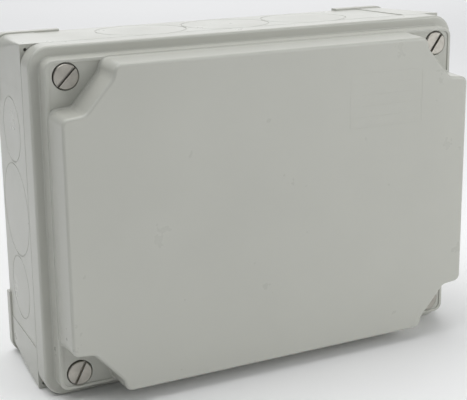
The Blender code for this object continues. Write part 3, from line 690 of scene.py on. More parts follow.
CORNER_SINK = 0.0007
SINK_MARGIN = 0.0096
SINK_REACH = 0.0520
SINK_REACH_UP = SINK_REACH * 0.9
SINK_CORNER = 0.0040
SINK_EDGE = 0.0003
SINK_FLARE = 0.0010
sunken = bmesh.new()
for _, side_x, side_z in CORNERS:
    far_x = WIDTH / 2 - SINK_MARGIN
    far_z = HEIGHT / 2 - SINK_MARGIN
    near_x = far_x - SINK_REACH
    near_z = far_z - SINK_REACH_UP
    floor_verts = [
        sunken.verts.new(at(side_x * x, PLATEAU + CORNER_SINK, side_z * z))
        for x, z in ((near_x, near_z), (far_x, near_z), (far_x, far_z), (near_x, far_z))
    ]
    old_faces = set(sunken.faces)
    floor_face = sunken.faces.new(floor_verts if side_x * side_z > 0 else floor_verts[::-1])
    round_corners(sunken, floor_verts, SINK_CORNER, 6)
    floor_face = next(face for face in sunken.faces if face not in old_faces)
    climb(sunken, floor_face, [
        (-SINK_EDGE, SINK_EDGE), (0.0, CORNER_SINK - SINK_EDGE), (-SINK_FLARE, SINK_FLARE)
    ])
close_back(sunken)
carve(lid, sunken)

panel = bmesh.new()
BELOW_PLATEAU = 0.0030
HAIR = 0.00002
panel_face = notched_face(panel, PLATEAU + BELOW_PLATEAU, -PANEL_FILLET)
climb(panel, panel_face, [(0.0, BELOW_PLATEAU + HAIR)])
climb(panel, panel_face, fillet(PANEL_FILLET, 4))
panel_height = PLATEAU - HAIR - PANEL_FILLET - PANEL_ROUNDING
climb(panel, panel_face, [(PANEL_DRAFT * panel_height, panel_height)])
climb(panel, panel_face, round_over(PANEL_ROUNDING, 6))
close_back(panel)
carve(lid, panel, "UNION")

hollow = bmesh.new()
HOLLOW_START = RIM_BACK + 0.0025
spread_out = PANEL_DRAFT * (HOLLOW_START - PLATEAU)
hollow_face = notched_face(hollow, HOLLOW_START, LID_WALL - spread_out)
hollow_height = HOLLOW_START - LID_WALL - INNER_ROUNDING
climb(hollow, hollow_face, [(PANEL_DRAFT * hollow_height, hollow_height)])
climb(hollow, hollow_face, round_over(INNER_ROUNDING, 4))
close_back(hollow)
carve(lid, hollow)

UNDERSIDE_CORNER = 0.0060
UNDERSIDE_DRAFT = 0.0001
underside = bmesh.new()
under_face = rounded_face(underside, SHOULDER_MARGIN + SHOULDER_WALL, UNDERSIDE_CORNER, RIM_BACK + CUT_PAST)
under_height = RIM_BACK + CUT_PAST - PLATEAU - LID_WALL - INNER_ROUNDING
climb(underside, under_face, [(UNDERSIDE_DRAFT, under_height)])
climb(underside, under_face, round_over(INNER_ROUNDING, 3))
close_back(underside)
carve(lid, underside)


def sealing_ring(outer_margin, inner_margin, front, back):
    """A square cord that runs right round the box at an even distance from its edge."""
    bm = bmesh.new()
    face = rounded_face(bm, outer_margin, SEAL_CORNER - outer_margin, front, 12)
    bmesh.ops.inset_individual(
        bm, faces=[face], thickness=inner_margin - outer_margin, depth=0.0, use_even_offset=True
    )
    bmesh.ops.delete(bm, geom=[face], context="FACES_ONLY")
    swept = bmesh.ops.extrude_face_region(bm, geom=list(bm.faces))["geom"]
    far = [item for item in swept if isinstance(item, bmesh.types.BMVert)]
    bmesh.ops.translate(bm, vec=(0.0, back - front, 0.0), verts=far)
    return bm


carve(lid, sealing_ring(CHANNEL_OUTER, CHANNEL_INNER, CHANNEL_FLOOR, RIM_BACK + CUT_PAST))

POCKET_BOSS = 0.0105
POCKET_BOSS_START = PLATEAU + 0.001
POCKET_BOSS_END = POCKET_FLOOR + 0.0027
bosses = bmesh.new()
for _, side_x, side_z in CORNERS:
    pin(
        bosses, POCKET_BOSS, POCKET_BOSS_START, POCKET_BOSS_END, side_x * SCREW_X, side_z * SCREW_Z, 40
    )
carve(lid, bosses, "UNION")

pockets = bmesh.new()
POCKET_CHAMFER = 0.0003
for _, side_x, side_z in CORNERS:
    turn(pockets, (
        (HEAD_POCKET + POCKET_CHAMFER * 2, PLATEAU - 0.0080),
        (HEAD_POCKET + POCKET_CHAMFER * 2, PLATEAU + CORNER_SINK - POCKET_CHAMFER),
        (HEAD_POCKET, PLATEAU + CORNER_SINK + POCKET_CHAMFER), (HEAD_POCKET, POCKET_FLOOR),
        (SCREW_BORE, POCKET_FLOOR),
        (SCREW_BORE, POCKET_FLOOR + 0.0060),
    ), side_x * SCREW_X, side_z * SCREW_Z, 48)
carve(lid, pockets)

FIELD_LEFT = 0.0505
FIELD_RIGHT = 0.1070
FIELD_BOTTOM = 0.0470
FIELD_TOP = 0.0835
FIELD_ROWS = 5
LINE_WIDTH = 0.0004
LINE_DEPTH = 0.00007
for count in range(FIELD_ROWS + 1):
    line_z = FIELD_BOTTOM + (FIELD_TOP - FIELD_BOTTOM) * count / FIELD_ROWS
    ruling = bmesh.new()
    block(
        ruling, (FIELD_RIGHT - FIELD_LEFT, LINE_DEPTH * 2, LINE_WIDTH),
        ((FIELD_LEFT + FIELD_RIGHT) / 2, 0.0, line_z),
    )
    carve(lid, ruling)
margins = bmesh.new()
for line_x in (FIELD_LEFT, FIELD_RIGHT):
    block(
        margins, (LINE_WIDTH, LINE_DEPTH * 2, FIELD_TOP - FIELD_BOTTOM + LINE_WIDTH),
        (line_x, 0.0, (FIELD_BOTTOM + FIELD_TOP) / 2),
    )
carve(lid, margins)
smooth(lid)
dress(lid, grey_plastic, "cover", "grey_plastic", "lid")

# ==================================================================== lid gasket
# A square cord of black foam rubber, laid in the channel under the lid's rim and glued at its
# joint. The base's thin lip has pressed a shallow track into its face.

GASKET_GAP = 0.0003
GASKET_EDGE = 0.0003
LIP_TRACK = 0.0003
TRACK_SLACK = 0.0001
TRACK_END = LIP_TOP + 0.0010


def rubber(name, colour, pore):
    """Soft dark rubber: dull, with fine pores and a little pale dust in its corners."""
    look = bpy.data.materials.new(name)
    look.use_nodes = True
    tree = look.node_tree
    shader = tree.nodes["Principled BSDF"]
    coordinates = shader_node(tree, "ShaderNodeTexCoord").outputs["Object"]
    clouds = spread(tree, noise(tree, coordinates, 60.0, detail=3.0), 0.3, 0.7, 0.0, 1.0)
    shown = blended(tree, clouds, tinted(colour, 0.8), tinted(colour, 1.3))
    shown = blended(tree, crevice_mask(tree, reach=0.002), shown, tinted(colour, 1.8))
    tree.links.new(shown, shader.inputs["Base Color"])
    smears = noise(tree, coordinates, 150.0, detail=3.0)
    tree.links.new(spread(tree, smears, 0.3, 0.7, 0.62, 0.85), shader.inputs["Roughness"])
    pores = noise(tree, coordinates, 1.0 / pore, detail=3.0, roughness=0.65)
    tree.links.new(bumps(tree, (pores, pore * 0.15)), shader.inputs["Normal"])
    return look


def soften(body, width, segments, sharper_than=40):
    """Rounds a finished body's sharp edges a little with a modifier."""
    rounding = body.modifiers.new("soft_edges", "BEVEL")
    rounding.width = width
    rounding.segments = segments
    rounding.limit_method = "ANGLE"
    rounding.angle_limit = math.radians(sharper_than)
    rounding.use_clamp_overlap = True
    rounding.harden_normals = False


gasket = shape("foam_gasket", sealing_ring(
    CHANNEL_OUTER + GASKET_GAP, CHANNEL_INNER - GASKET_GAP, CHANNEL_FLOOR + GASKET_GAP, LIP_TOP - GASKET_GAP
))
carve(gasket, sealing_ring(
    LIP_OUTER - TRACK_SLACK, BASE_WALL + TRACK_SLACK, LIP_TOP - GASKET_GAP - LIP_TRACK, TRACK_END
))
soften(gasket, GASKET_EDGE, segments=2)
smooth(gasket)
foam_rubber = rubber("foam_rubber", (0.030, 0.030, 0.031), pore=0.0007)
dress(gasket, foam_rubber, "cover", "seal_rubber", "lid_gasket")

# ==================================================================== lid screws
# Four captive screws, turned from steel and dull plated, with broad flat heads and one wide slot
# for a blade or a coin. A plain shank passes the lid, and the thread starts at the tower.

HEAD_FRONT = 0.0225
HEAD_BACK = 0.0259
HEAD_RADIUS = 0.0078
HEAD_CHAMFER = 0.0005
HEAD_UNDER_EDGE = 0.0003
HEAD_STEPS = 48
SHANK_RADIUS = 0.0030
SCREW_TIP = 0.0628
TIP_CHAMFER = 0.0010
THREAD_START = 0.0470
THREAD_END = SCREW_TIP - 0.0018
THREAD_ROOT = 0.0026
THREAD_PITCH = 0.0015
THREAD_STEPS = 30
TOOTH_HALF_WIDTH = THREAD_PITCH * 0.38
TOOTH_BURIED = 0.0004
SLOT_WIDTH = 0.0020
SLOT_DEPTH = 0.0017
SLOT_LENGTH = 0.0200
SLOT_TURNS = {"top_left": 45, "top_right": 36, "bottom_left": 28, "bottom_right": 52}


def lathe_marks(tree, coordinates, spacing):
    """Uneven fine rings round the axis that is written on the piece's points."""
    axis = shader_node(tree, "ShaderNodeAttribute", attribute_name="spin_axis")
    away = shader_node(tree, "ShaderNodeVectorMath", operation="SUBTRACT")
    tree.links.new(coordinates, away.inputs[0])
    tree.links.new(axis.outputs["Vector"], away.inputs[1])
    flat = shader_node(tree, "ShaderNodeVectorMath", {1: (1.0, 0.0, 1.0)}, operation="MULTIPLY")
    tree.links.new(away.outputs["Vector"], flat.inputs[0])
    distance = shader_node(tree, "ShaderNodeVectorMath", operation="LENGTH")
    tree.links.new(flat.outputs["Vector"], distance.inputs[0])
    rings = shader_node(
        tree, "ShaderNodeTexNoise", {"Scale": 1.0 / spacing, "Detail": 2.0}, noise_dimensions="1D"
    )
    tree.links.new(distance.outputs["Value"], rings.inputs["W"])
    return rings.outputs["Fac"]


def plated(name, colour, gloss, lathe=0.0, stain=0.80):
    """Plated metal: cloudy tarnish, fine scuffs, bright edges and, if turned, rings from the lathe."""
    look = bpy.data.materials.new(name)
    look.use_nodes = True
    tree = look.node_tree
    shader = tree.nodes["Principled BSDF"]
    shader.inputs["Metallic"].default_value = 1.0
    coordinates = shader_node(tree, "ShaderNodeTexCoord").outputs["Object"]
    tarnish = noise(tree, coordinates, 140.0, detail=4.0, roughness=0.6)
    clouds = spread(tree, tarnish, 0.35, 0.68, 0.0, 1.0)
    shown = blended(tree, clouds, tinted(colour, stain), colour)
    shown = blended(tree, edge_mask(tree, radius=0.0003), shown, tinted(colour, 1.25))
    # Painted shade: the metal's colour is darkened in tight corners, where less light reaches.
    shown = blended(tree, crevice_mask(tree, reach=0.0020), shown, tinted(colour, 0.55))
    tree.links.new(shown, shader.inputs["Base Color"])
    smears = noise(tree, coordinates, 420.0, detail=4.0, roughness=0.65)
    tree.links.new(spread(tree, smears, 0.3, 0.7, gloss - 0.07, gloss + 0.09), shader.inputs["Roughness"])
    layers = [(noise(tree, coordinates, 900.0, detail=3.0), 0.000010)]
    if lathe:
        layers.append((lathe_marks(tree, coordinates, lathe), 0.000025))
    tree.links.new(bumps(tree, *layers), shader.inputs["Normal"])
    return look


def mark_axis(piece, x, z):
    """Writes the axis a piece was turned round on all its points, for the lathe marks."""
    axis = piece.data.attributes.new("spin_axis", "FLOAT_VECTOR", "POINT")
    place = at(x, 0, z)
    axis.data.foreach_set("vector", list(place) * len(piece.data.vertices))


def threaded(bm, x, z):
    """One continuous tooth wound round the core, closed at both ends and buried in the core."""
    foot = THREAD_ROOT - TOOTH_BURIED
    section = behind(THREAD_START, (
        (foot, -TOOTH_HALF_WIDTH), (SHANK_RADIUS, 0.0), (foot, TOOTH_HALF_WIDTH)
    ))
    verts = [bm.verts.new(at(x + radius, depth, z)) for radius, depth in section]
    edges = [bm.edges.new(pair) for pair in zip(verts, verts[1:] + verts[:1])]
    steps = int(THREAD_STEPS * (THREAD_END - THREAD_START) / THREAD_PITCH)
    bmesh.ops.spin(
        bm, geom=verts + edges, cent=at(x, 0, z), axis=(0, 1, 0),
        dvec=(0, THREAD_PITCH / THREAD_STEPS, 0), angle=math.tau * steps / THREAD_STEPS, steps=steps,
        use_merge=False, use_duplicate=False,
    )
    bmesh.ops.holes_fill(bm, edges=bm.edges, sides=3)


def moved_copy(name, original, x, z):
    """A copy of an unfinished piece, with its points moved across and up."""
    mesh = original.data.copy()
    mesh.transform(Matrix.Translation((x, 0.0, z)))
    made = bpy.data.objects.new(name, mesh)
    bpy.context.scene.collection.objects.link(made)
    return made


DULL_STEEL = (0.48, 0.46, 0.415)
turned_steel = plated("turned_steel", DULL_STEEL, gloss=0.40, lathe=0.00035)
turning = bmesh.new()
turn(turning, (
    (HEAD_RADIUS - HEAD_CHAMFER, HEAD_FRONT), (HEAD_RADIUS - 0.0001, HEAD_FRONT + HEAD_CHAMFER - 0.0001),
    (HEAD_RADIUS, HEAD_FRONT + HEAD_CHAMFER), (HEAD_RADIUS, HEAD_BACK - HEAD_UNDER_EDGE),
    (HEAD_RADIUS - HEAD_UNDER_EDGE, HEAD_BACK), (SHANK_RADIUS, HEAD_BACK),
    (SHANK_RADIUS, THREAD_START - 0.0025), (THREAD_ROOT, THREAD_START - 0.0018),
    (THREAD_ROOT, SCREW_TIP - TIP_CHAMFER), (THREAD_ROOT - TIP_CHAMFER, SCREW_TIP),
), -SCREW_X, SCREW_Z, HEAD_STEPS)
blank = shape("screw_blank", turning)
winding = bmesh.new()
threaded(winding, -SCREW_X, SCREW_Z)
carve(blank, winding, "UNION")
for corner, side_x, side_z in CORNERS:
    x = side_x * SCREW_X
    z = side_z * SCREW_Z
    screw = moved_copy(f"captive_screw_{corner}", blank, x + SCREW_X, z - SCREW_Z)
    slot = bmesh.new()
    block(
        slot, (SLOT_WIDTH, SLOT_DEPTH * 2, SLOT_LENGTH), (x, HEAD_FRONT, z),
        Matrix.Rotation(math.radians(SLOT_TURNS[corner]), 3, "Y"),
    )
    carve(screw, slot)
    mark_axis(screw, x, z)
    smooth(screw)
    dress(screw, turned_steel, f"screw_{corner}", "screw_metal", f"lid_screw_{corner}")
bpy.data.objects.remove(blank)

# ==================================================================== screw seals
# A soft black washer sits under each lid screw's head and keeps water out of the pocket's bore.
# It is punched from solid rubber sheet, so it is smoother than the lid's foam cord.

SEAL_FRONT = 0.0262
SEAL_BACK = 0.0274
SEAL_INNER = 0.0033
SEAL_OUTER = 0.0066
SEAL_EDGE = 0.0003
SEAL_EDGE_BULGE = 0.0001
solid_rubber = rubber("solid_rubber", (0.022, 0.022, 0.022), pore=0.0004)
for corner, side_x, side_z in CORNERS:
    washer = bmesh.new()
    turn(washer, (
        (SEAL_INNER, SEAL_FRONT), (SEAL_OUTER - SEAL_EDGE, SEAL_FRONT),
        (SEAL_OUTER - SEAL_EDGE_BULGE, SEAL_FRONT + SEAL_EDGE_BULGE),
        (SEAL_OUTER, SEAL_FRONT + SEAL_EDGE), (SEAL_OUTER, SEAL_BACK - SEAL_EDGE),
        (SEAL_OUTER - SEAL_EDGE_BULGE, SEAL_BACK - SEAL_EDGE_BULGE),
        (SEAL_OUTER - SEAL_EDGE, SEAL_BACK), (SEAL_INNER, SEAL_BACK),
    ), side_x * SCREW_X, side_z * SCREW_Z, 40, closed=True)
    seal = shape(f"rubber_washer_{corner}", washer)
    smooth(seal)
    dress(seal, solid_rubber, f"seal_{corner}", "seal_rubber", f"screw_seal_{corner}")

# ==================================================================== tower inserts
# Brass bushes pressed hot into the towers, one for each lid screw. Two knurled bands grip the
# plastic on either side of a waist, and the bore carries the thread.

INSERT_FRONT = TOWER_FRONT + 0.0003
INSERT_LENGTH = 0.0140
INSERT_RADIUS = 0.0046
INSERT_BORE = 0.0034
INSERT_WAIST = 0.0040
KNURL_DEPTH = 0.00025
INSERT_STEPS = 56
INSERT_PROFILE = (
    (INSERT_BORE + 0.0004, 0.0), (INSERT_RADIUS - 0.0005, 0.0), (INSERT_RADIUS - 0.0003, 0.0004),
    (INSERT_RADIUS, 0.0007), (INSERT_RADIUS, 0.0055), (INSERT_WAIST, 0.0062), (INSERT_WAIST, 0.0078),
    (INSERT_RADIUS, 0.0085), (INSERT_RADIUS, INSERT_LENGTH - 0.0004),
    (INSERT_RADIUS - 0.0004, INSERT_LENGTH), (INSERT_BORE, INSERT_LENGTH), (INSERT_BORE, 0.0004),
)
TURNED_BRASS = (0.80, 0.60, 0.29)
turned_brass = plated("turned_brass", TURNED_BRASS, gloss=0.32, lathe=0.00030, stain=0.78)


def knurl(bm, x, z, radius, depth):
    """Draws every second line of points on the widest bands inwards, into grooves along the piece."""
    for vert in bm.verts:
        away = Vector((vert.co.x - x, 0.0, vert.co.z - at(0, 0, z).z))
        count = round(math.atan2(away.z, away.x) / math.tau * INSERT_STEPS)
        if away.length > radius - TOUCHING and count % 2:
            vert.co -= away.normalized() * depth


for corner, side_x, side_z in CORNERS:
    x = side_x * SCREW_X
    z = side_z * SCREW_Z
    bush = bmesh.new()
    turn(bush, behind(INSERT_FRONT, INSERT_PROFILE), x, z, INSERT_STEPS, closed=True)
    knurl(bush, x, z, INSERT_RADIUS, KNURL_DEPTH)
    insert = shape(f"brass_bush_{corner}", bush)
    mark_axis(insert, x, z)
    smooth(insert)
    dress(insert, turned_brass, "base", "brass", f"tower_insert_{corner}")

# ==================================================================== fixing caps
# Small insulating plugs, moulded in grey plastic, pushed over the wall screws' heads after the
# box has been fixed. Each has a thin round head with a dimple and a plain stem.

CAP_RADIUS = 0.0061
CAP_STEM = 0.0024
CAP_FRONT = FIXING_FRONT - 0.0018
CAP_BACK = FIXING_FRONT - 0.0003
CAP_END = CAP_FRONT + 0.0060
CAP_FACE = (
    (0.0008, 0.0004), (0.0016, 0.0003), (0.0022, 0.0),
    (CAP_RADIUS - 0.0009, 0.0), (CAP_RADIUS - 0.0003, 0.0002), (CAP_RADIUS, 0.0008),
)
STEM_FILLET = 0.0003
STEM_CHAMFER = 0.0004
cap_plastic = moulded("cap_plastic", (0.33, 0.34, 0.32), gloss=0.42, grain=0.0004)
for corner, side_x, side_z in CORNERS:
    plug = bmesh.new()
    turn(plug, behind(CAP_FRONT, CAP_FACE) + [
        (CAP_RADIUS, CAP_BACK), (CAP_STEM + STEM_FILLET, CAP_BACK), (CAP_STEM, CAP_BACK + STEM_FILLET),
        (CAP_STEM, CAP_END - STEM_CHAMFER), (CAP_STEM - STEM_CHAMFER, CAP_END),
    ], side_x * FIXING_X, side_z * FIXING_Z, 40)
    cap = shape(f"insulating_cap_{corner}", plug)
    smooth(cap)
    dress(cap, cap_plastic, "base", "cap_plastic", f"fixing_cap_{corner}")

# ==================================================================== mounting plate
# A flat plate of zinc-plated steel sheet, punched and deburred, that carries the rail. It rests
# on four bosses at the floor of the base.

PLATE_WIDTH = 0.2300
PLATE_HEIGHT = 0.1600
PLATE_FRONT = 0.1065
PLATE_THICKNESS = 0.0015
PLATE_CORNER = 0.0040
PLATE_EDGE = 0.0002
PLATE_HOLE = 0.0024
HOLE_CHAMFER = 0.0004
RAIL_SCREW_X = 0.0850


def crystals(tree, coordinates):
    """Flat patches of zinc crystal, each with its own shade."""
    cells = shader_node(tree, "ShaderNodeTexVoronoi", {"Scale": 260.0, "Randomness": 1.0}, feature="F1")
    tree.links.new(coordinates, cells.inputs["Vector"])
    shade = shader_node(tree, "ShaderNodeSeparateColor")
    tree.links.new(cells.outputs["Color"], shade.inputs["Color"])
    return shade.outputs["Red"]


def zinc_coated(name, colour, gloss):
    """Zinc on rolled sheet: faint crystals, long rolling marks, patches of grey bloom and painted shade in
    the corners.
    """
    look = bpy.data.materials.new(name)
    look.use_nodes = True
    tree = look.node_tree
    shader = tree.nodes["Principled BSDF"]
    shader.inputs["Metallic"].default_value = 1.0
    coordinates = shader_node(tree, "ShaderNodeTexCoord").outputs["Object"]
    shown = blended(tree, crystals(tree, coordinates), tinted(colour, 0.90), tinted(colour, 1.06))
    haze = noise(tree, coordinates, 28.0, detail=4.0, roughness=0.6)
    bloom = spread(tree, haze, 0.45, 0.75, 0.0, 1.0)
    shown = blended(tree, bloom, shown, tinted(colour, 0.84))
    # Painted shade: the zinc's colour is darkened in tight corners, where less light reaches.
    shown = blended(tree, crevice_mask(tree, reach=0.0030), shown, tinted(colour, 0.60))
    tree.links.new(shown, shader.inputs["Base Color"])
    drawn_out = shader_node(tree, "ShaderNodeMapping", {"Scale": (0.03, 1.0, 1.0)})
    tree.links.new(coordinates, drawn_out.inputs["Vector"])
    rolling = noise(tree, drawn_out.outputs["Vector"], 1500.0, detail=3.0, roughness=0.6)
    tree.links.new(spread(tree, rolling, 0.3, 0.7, gloss - 0.08, gloss + 0.10), shader.inputs["Roughness"])
    waves = noise(tree, coordinates, 60.0, detail=2.0)
    tree.links.new(bumps(tree, (rolling, 0.000012), (waves, 0.00003)), shader.inputs["Normal"])
    return look


sheet = bmesh.new()
half_x = PLATE_WIDTH / 2
half_z = PLATE_HEIGHT / 2
plate_points = ((-half_x, -half_z), (half_x, -half_z), (half_x, half_z), (-half_x, half_z))
plate_back = PLATE_FRONT + PLATE_THICKNESS
plate_verts = [sheet.verts.new(at(x, plate_back, z)) for x, z in plate_points]
sheet.faces.new(plate_verts)
round_corners(sheet, plate_verts, PLATE_CORNER, 8)
sheet.faces.ensure_lookup_table()
plate_face = sheet.faces[0]
climb(sheet, plate_face, [(0.0, PLATE_THICKNESS - PLATE_EDGE), (PLATE_EDGE, PLATE_EDGE)])
close_back(sheet)
plate = shape("zinc_plate", sheet)
holes = bmesh.new()
plate_spots = [(side_x * PLATE_SCREW_X, side_z * PLATE_SCREW_Z) for _, side_x, side_z in CORNERS]
plate_spots += [(side * RAIL_SCREW_X, 0.0) for side in (-1, 1)]
for x, z in plate_spots:
    turn(holes, (
        (PLATE_HOLE + HOLE_CHAMFER, PLATE_FRONT - CUT_PAST),
        (PLATE_HOLE + HOLE_CHAMFER, PLATE_FRONT - PLATE_EDGE),
        (PLATE_HOLE, PLATE_FRONT + PLATE_EDGE), (PLATE_HOLE, plate_back + CUT_PAST),
    ), x, z, 28)
carve(plate, holes)
smooth(plate)
zinc_sheet = zinc_coated("zinc_sheet", (0.62, 0.64, 0.65), gloss=0.36)
dress(plate, zinc_sheet, "base", "zinc_sheet", "mounting_plate")

# ==================================================================== plate and rail screws
# Small pan-head screws with a cross recess, cold formed and zinc plated. Four hold the plate on
# its bosses and two more hold the rail on the plate.

DOME_RISE = 0.55
DOME_ANGLES = (10, 28, 46, 62, 76, 90)
DOME_RIM = 0.0005
POINT_LENGTH = 0.0008
POINT_TAPER = 0.0006
RECESS_REACH = 1.1
BLADE_WIDTH = 0.0009
BLADE_DEPTH = 0.0026
BLADE_TAPER = (0.6, 1.0, 0.35)


def recess_blade(x, front, z, reach, turned_by):
    """One blade of a cross recess, which narrows towards its bottom."""
    bm = bmesh.new()
    blade = bmesh.ops.create_cube(bm, size=1.0)["verts"]
    bmesh.ops.scale(bm, vec=(BLADE_WIDTH, BLADE_DEPTH, reach), verts=blade)
    deep = [vert for vert in blade if vert.co.y > 0]
    bmesh.ops.scale(bm, vec=BLADE_TAPER, verts=deep)
    turned = Matrix.Rotation(math.radians(turned_by), 3, "Y")
    bmesh.ops.rotate(bm, cent=(0, 0, 0), matrix=turned, verts=blade)
    bmesh.ops.translate(bm, vec=at(x, front, z), verts=blade)
    return bm


def pan_screw(name, place, head, shank, end, turned_by, node):
    """Turns a domed head and its shank, presses the recess and dresses the piece."""
    x, front, z = place
    rise = head * DOME_RISE
    under = front + rise + DOME_RIM
    dome = [
        (head * math.sin(math.radians(angle)), front + rise * (1 - math.cos(math.radians(angle))))
        for angle in DOME_ANGLES
    ]
    body = bmesh.new()
    turn(body, dome + [
        (head, under - 0.0001), (head - 0.0002, under), (shank, under),
        (shank, end - POINT_LENGTH), (shank - POINT_TAPER, end),
    ], x, z, 32)
    made = shape(name, body)
    carve(made, recess_blade(x, front, z, head * RECESS_REACH, turned_by))
    carve(made, recess_blade(x, front, z, head * RECESS_REACH, turned_by + 90))
    mark_axis(made, x, z)
    smooth(made)
    dress(made, formed_steel, "base", "screw_metal", node)


formed_steel = plated("formed_steel", (0.60, 0.60, 0.58), gloss=0.33, lathe=0.00050)
PLATE_HEAD = 0.0040
PLATE_SHANK = 0.0018
PLATE_SCREW_FRONT = PLATE_FRONT - 0.0030
PLATE_SCREW_END = BASE_FLOOR - 0.0015
PLATE_TURNS = (12, 55, 33, 74)
for (corner, side_x, side_z), turned_by in zip(CORNERS, PLATE_TURNS):
    pan_screw(
        f"pan_screw_{corner}", (side_x * PLATE_SCREW_X, PLATE_SCREW_FRONT, side_z * PLATE_SCREW_Z),
        PLATE_HEAD, PLATE_SHANK, PLATE_SCREW_END, turned_by, f"plate_screw_{corner}",
    )

# ==================================================================== rail
# A standard 35 mm top-hat rail, roll-folded from one millimetre steel strip and zinc plated. Its
# two flanges stand clear of the plate, and two screws hold its channel down.

RAIL_LENGTH = 0.2000
RAIL_WIDTH = 0.0350
RAIL_HAT = 0.0270
RAIL_DEPTH = 0.0075
RAIL_SHEET = 0.0010
RAIL_FRONT = PLATE_FRONT - 0.0003 - RAIL_DEPTH
RAIL_HOLE = 0.0023
RAIL_HEAD = 0.0038
RAIL_SHANK = 0.0016
RAIL_SCREW_FRONT = RAIL_FRONT + 0.0036
RAIL_SCREW_END = PLATE_FRONT + 0.0045
FOLD_RADIUS = 0.0010
FOLD_STEPS = 5
fold = []
hat = RAIL_HAT / 2 - RAIL_SHEET / 2
rail_near = RAIL_FRONT + RAIL_SHEET / 2
rail_far = RAIL_FRONT + RAIL_DEPTH - RAIL_SHEET / 2
for side in (-1, 1):
    half_profile = [(RAIL_WIDTH / 2, rail_near)]
    for count in range(FOLD_STEPS + 1):
        angle = math.radians(90 * count / FOLD_STEPS)
        half_profile.append((
            hat + FOLD_RADIUS * (1 - math.sin(angle)), rail_near + FOLD_RADIUS * (1 - math.cos(angle))
        ))
    for count in range(FOLD_STEPS + 1):
        angle = math.radians(90 * count / FOLD_STEPS)
        half_profile.append((
            hat - FOLD_RADIUS * (1 - math.cos(angle)), rail_far - FOLD_RADIUS * (1 - math.sin(angle))
        ))
    placed = [(side * z, depth) for z, depth in half_profile]
    fold += placed if side < 0 else placed[::-1]
strip = bmesh.new()
near_end = [strip.verts.new(at(-RAIL_LENGTH / 2, depth, z)) for z, depth in fold]
fold_edges = [strip.edges.new(pair) for pair in zip(near_end, near_end[1:])]
swept = bmesh.ops.extrude_edge_only(strip, edges=fold_edges)["geom"]
far_end = [item for item in swept if isinstance(item, bmesh.types.BMVert)]
bmesh.ops.translate(strip, vec=(RAIL_LENGTH, 0.0, 0.0), verts=far_end)
rail = shape("top_hat_rail", strip)
thicken = rail.modifiers.new("sheet", "SOLIDIFY")
thicken.thickness = RAIL_SHEET
thicken.offset = 0.0
thicken.use_even_offset = True
rail_holes = bmesh.new()
for side in (-1, 1):
    pin(rail_holes, RAIL_HOLE, RAIL_FRONT + 0.0030, PLATE_FRONT + 0.0030, side * RAIL_SCREW_X, 0.0, 28)
carve(rail, rail_holes)
smooth(rail, sharp_angle=28)
dress(rail, zinc_sheet, "base", "zinc_sheet", "din_rail")

for end_name, side, turned_by in (("left", -1, 20), ("right", 1, 62)):
    pan_screw(
        f"rail_pan_screw_{end_name}", (side * RAIL_SCREW_X, RAIL_SCREW_FRONT, 0.0),
        RAIL_HEAD, RAIL_SHANK, RAIL_SCREW_END, turned_by, f"rail_screw_{end_name}",
    )

# ==================================================================== end stops
# Two grey polyamide blocks that hook over the rail's flanges at the ends of the strip. One screw
# in the middle clamps each block, so the terminals can't slide.

STOP_FRONT = 0.0820
STOP_HALF_HEIGHT = 0.0225
STOP_THICKNESS = 0.0090
STOP_X = 0.0305
STOP_HOLE = 0.0023
STOP_HOLE_DEPTH = 0.0100
STOP_HEAD = 0.0034
STOP_SHANK = 0.0020
STOP_SCREW_FRONT = STOP_FRONT - 0.0026
STOP_SCREW_END = STOP_FRONT + 0.0090
BLOCK_EDGE = 0.0004
RAIL_SLACK = 0.0003
HOOK_GRIP = 0.0012
HOOK_DEPTH = 0.0015
SHOULDER_STEP = 0.0012


def clip_block(x, front, half_height, thickness):
    """A block cut to its side outline, with soft corners and hooks that reach behind the flanges."""
    under = RAIL_FRONT + RAIL_SHEET + RAIL_SLACK
    hook = RAIL_WIDTH / 2 + RAIL_SLACK
    half = (
        (RAIL_FRONT - RAIL_SLACK, hook), (under, hook),
        (under, hook - HOOK_GRIP), (under + HOOK_DEPTH, hook - HOOK_GRIP),
        (under + HOOK_DEPTH, half_height - 0.0006), (RAIL_FRONT - 0.0080, half_height),
        (front + 0.0060, half_height - SHOULDER_STEP), (front, half_height - 0.0050),
    )
    outline = list(half) + [(depth, -z) for depth, z in reversed(half)]
    bm = bmesh.new()
    verts = [bm.verts.new(at(x - thickness / 2, depth, z)) for depth, z in outline]
    bm.faces.new(verts)
    outer_verts = [vert for count, vert in enumerate(verts) if count % (len(verts) - 1) not in (1, 2, 3)]
    round_corners(bm, outer_verts, BLOCK_EDGE, 3)
    made = bmesh.ops.extrude_face_region(bm, geom=list(bm.faces))["geom"]
    moved = [item for item in made if isinstance(item, bmesh.types.BMVert)]
    bmesh.ops.translate(bm, vec=(thickness, 0.0, 0.0), verts=moved)
    return bm


TERMINAL_GLOSS = 0.44
TERMINAL_GRAIN = 0.0004
terminal_grey = moulded("terminal_grey", (0.28, 0.29, 0.29), TERMINAL_GLOSS, TERMINAL_GRAIN)
for end_name, side, turned_by in (("left", -1, 40), ("right", 1, 8)):
    stop = shape(f"end_stop_block_{end_name}", clip_block(
        side * STOP_X, STOP_FRONT, STOP_HALF_HEIGHT, STOP_THICKNESS
    ))
    relief = bmesh.new()
    turn(relief, (
        (STOP_HOLE + HOLE_CHAMFER, STOP_FRONT - CUT_PAST), (STOP_HOLE + HOLE_CHAMFER, STOP_FRONT),
        (STOP_HOLE, STOP_FRONT + HOLE_CHAMFER), (STOP_HOLE, STOP_FRONT + STOP_HOLE_DEPTH),
    ), side * STOP_X, 0.0, 28)
    carve(stop, relief)
    soften(stop, BLOCK_EDGE, segments=2)
    smooth(stop)
    dress(stop, terminal_grey, "base", "terminal_grey", f"end_stop_{end_name}")
    pan_screw(
        f"stop_pan_screw_{end_name}", (side * STOP_X, STOP_SCREW_FRONT, 0.0),
        STOP_HEAD, STOP_SHANK, STOP_SCREW_END, turned_by, f"end_stop_screw_{end_name}",
    )

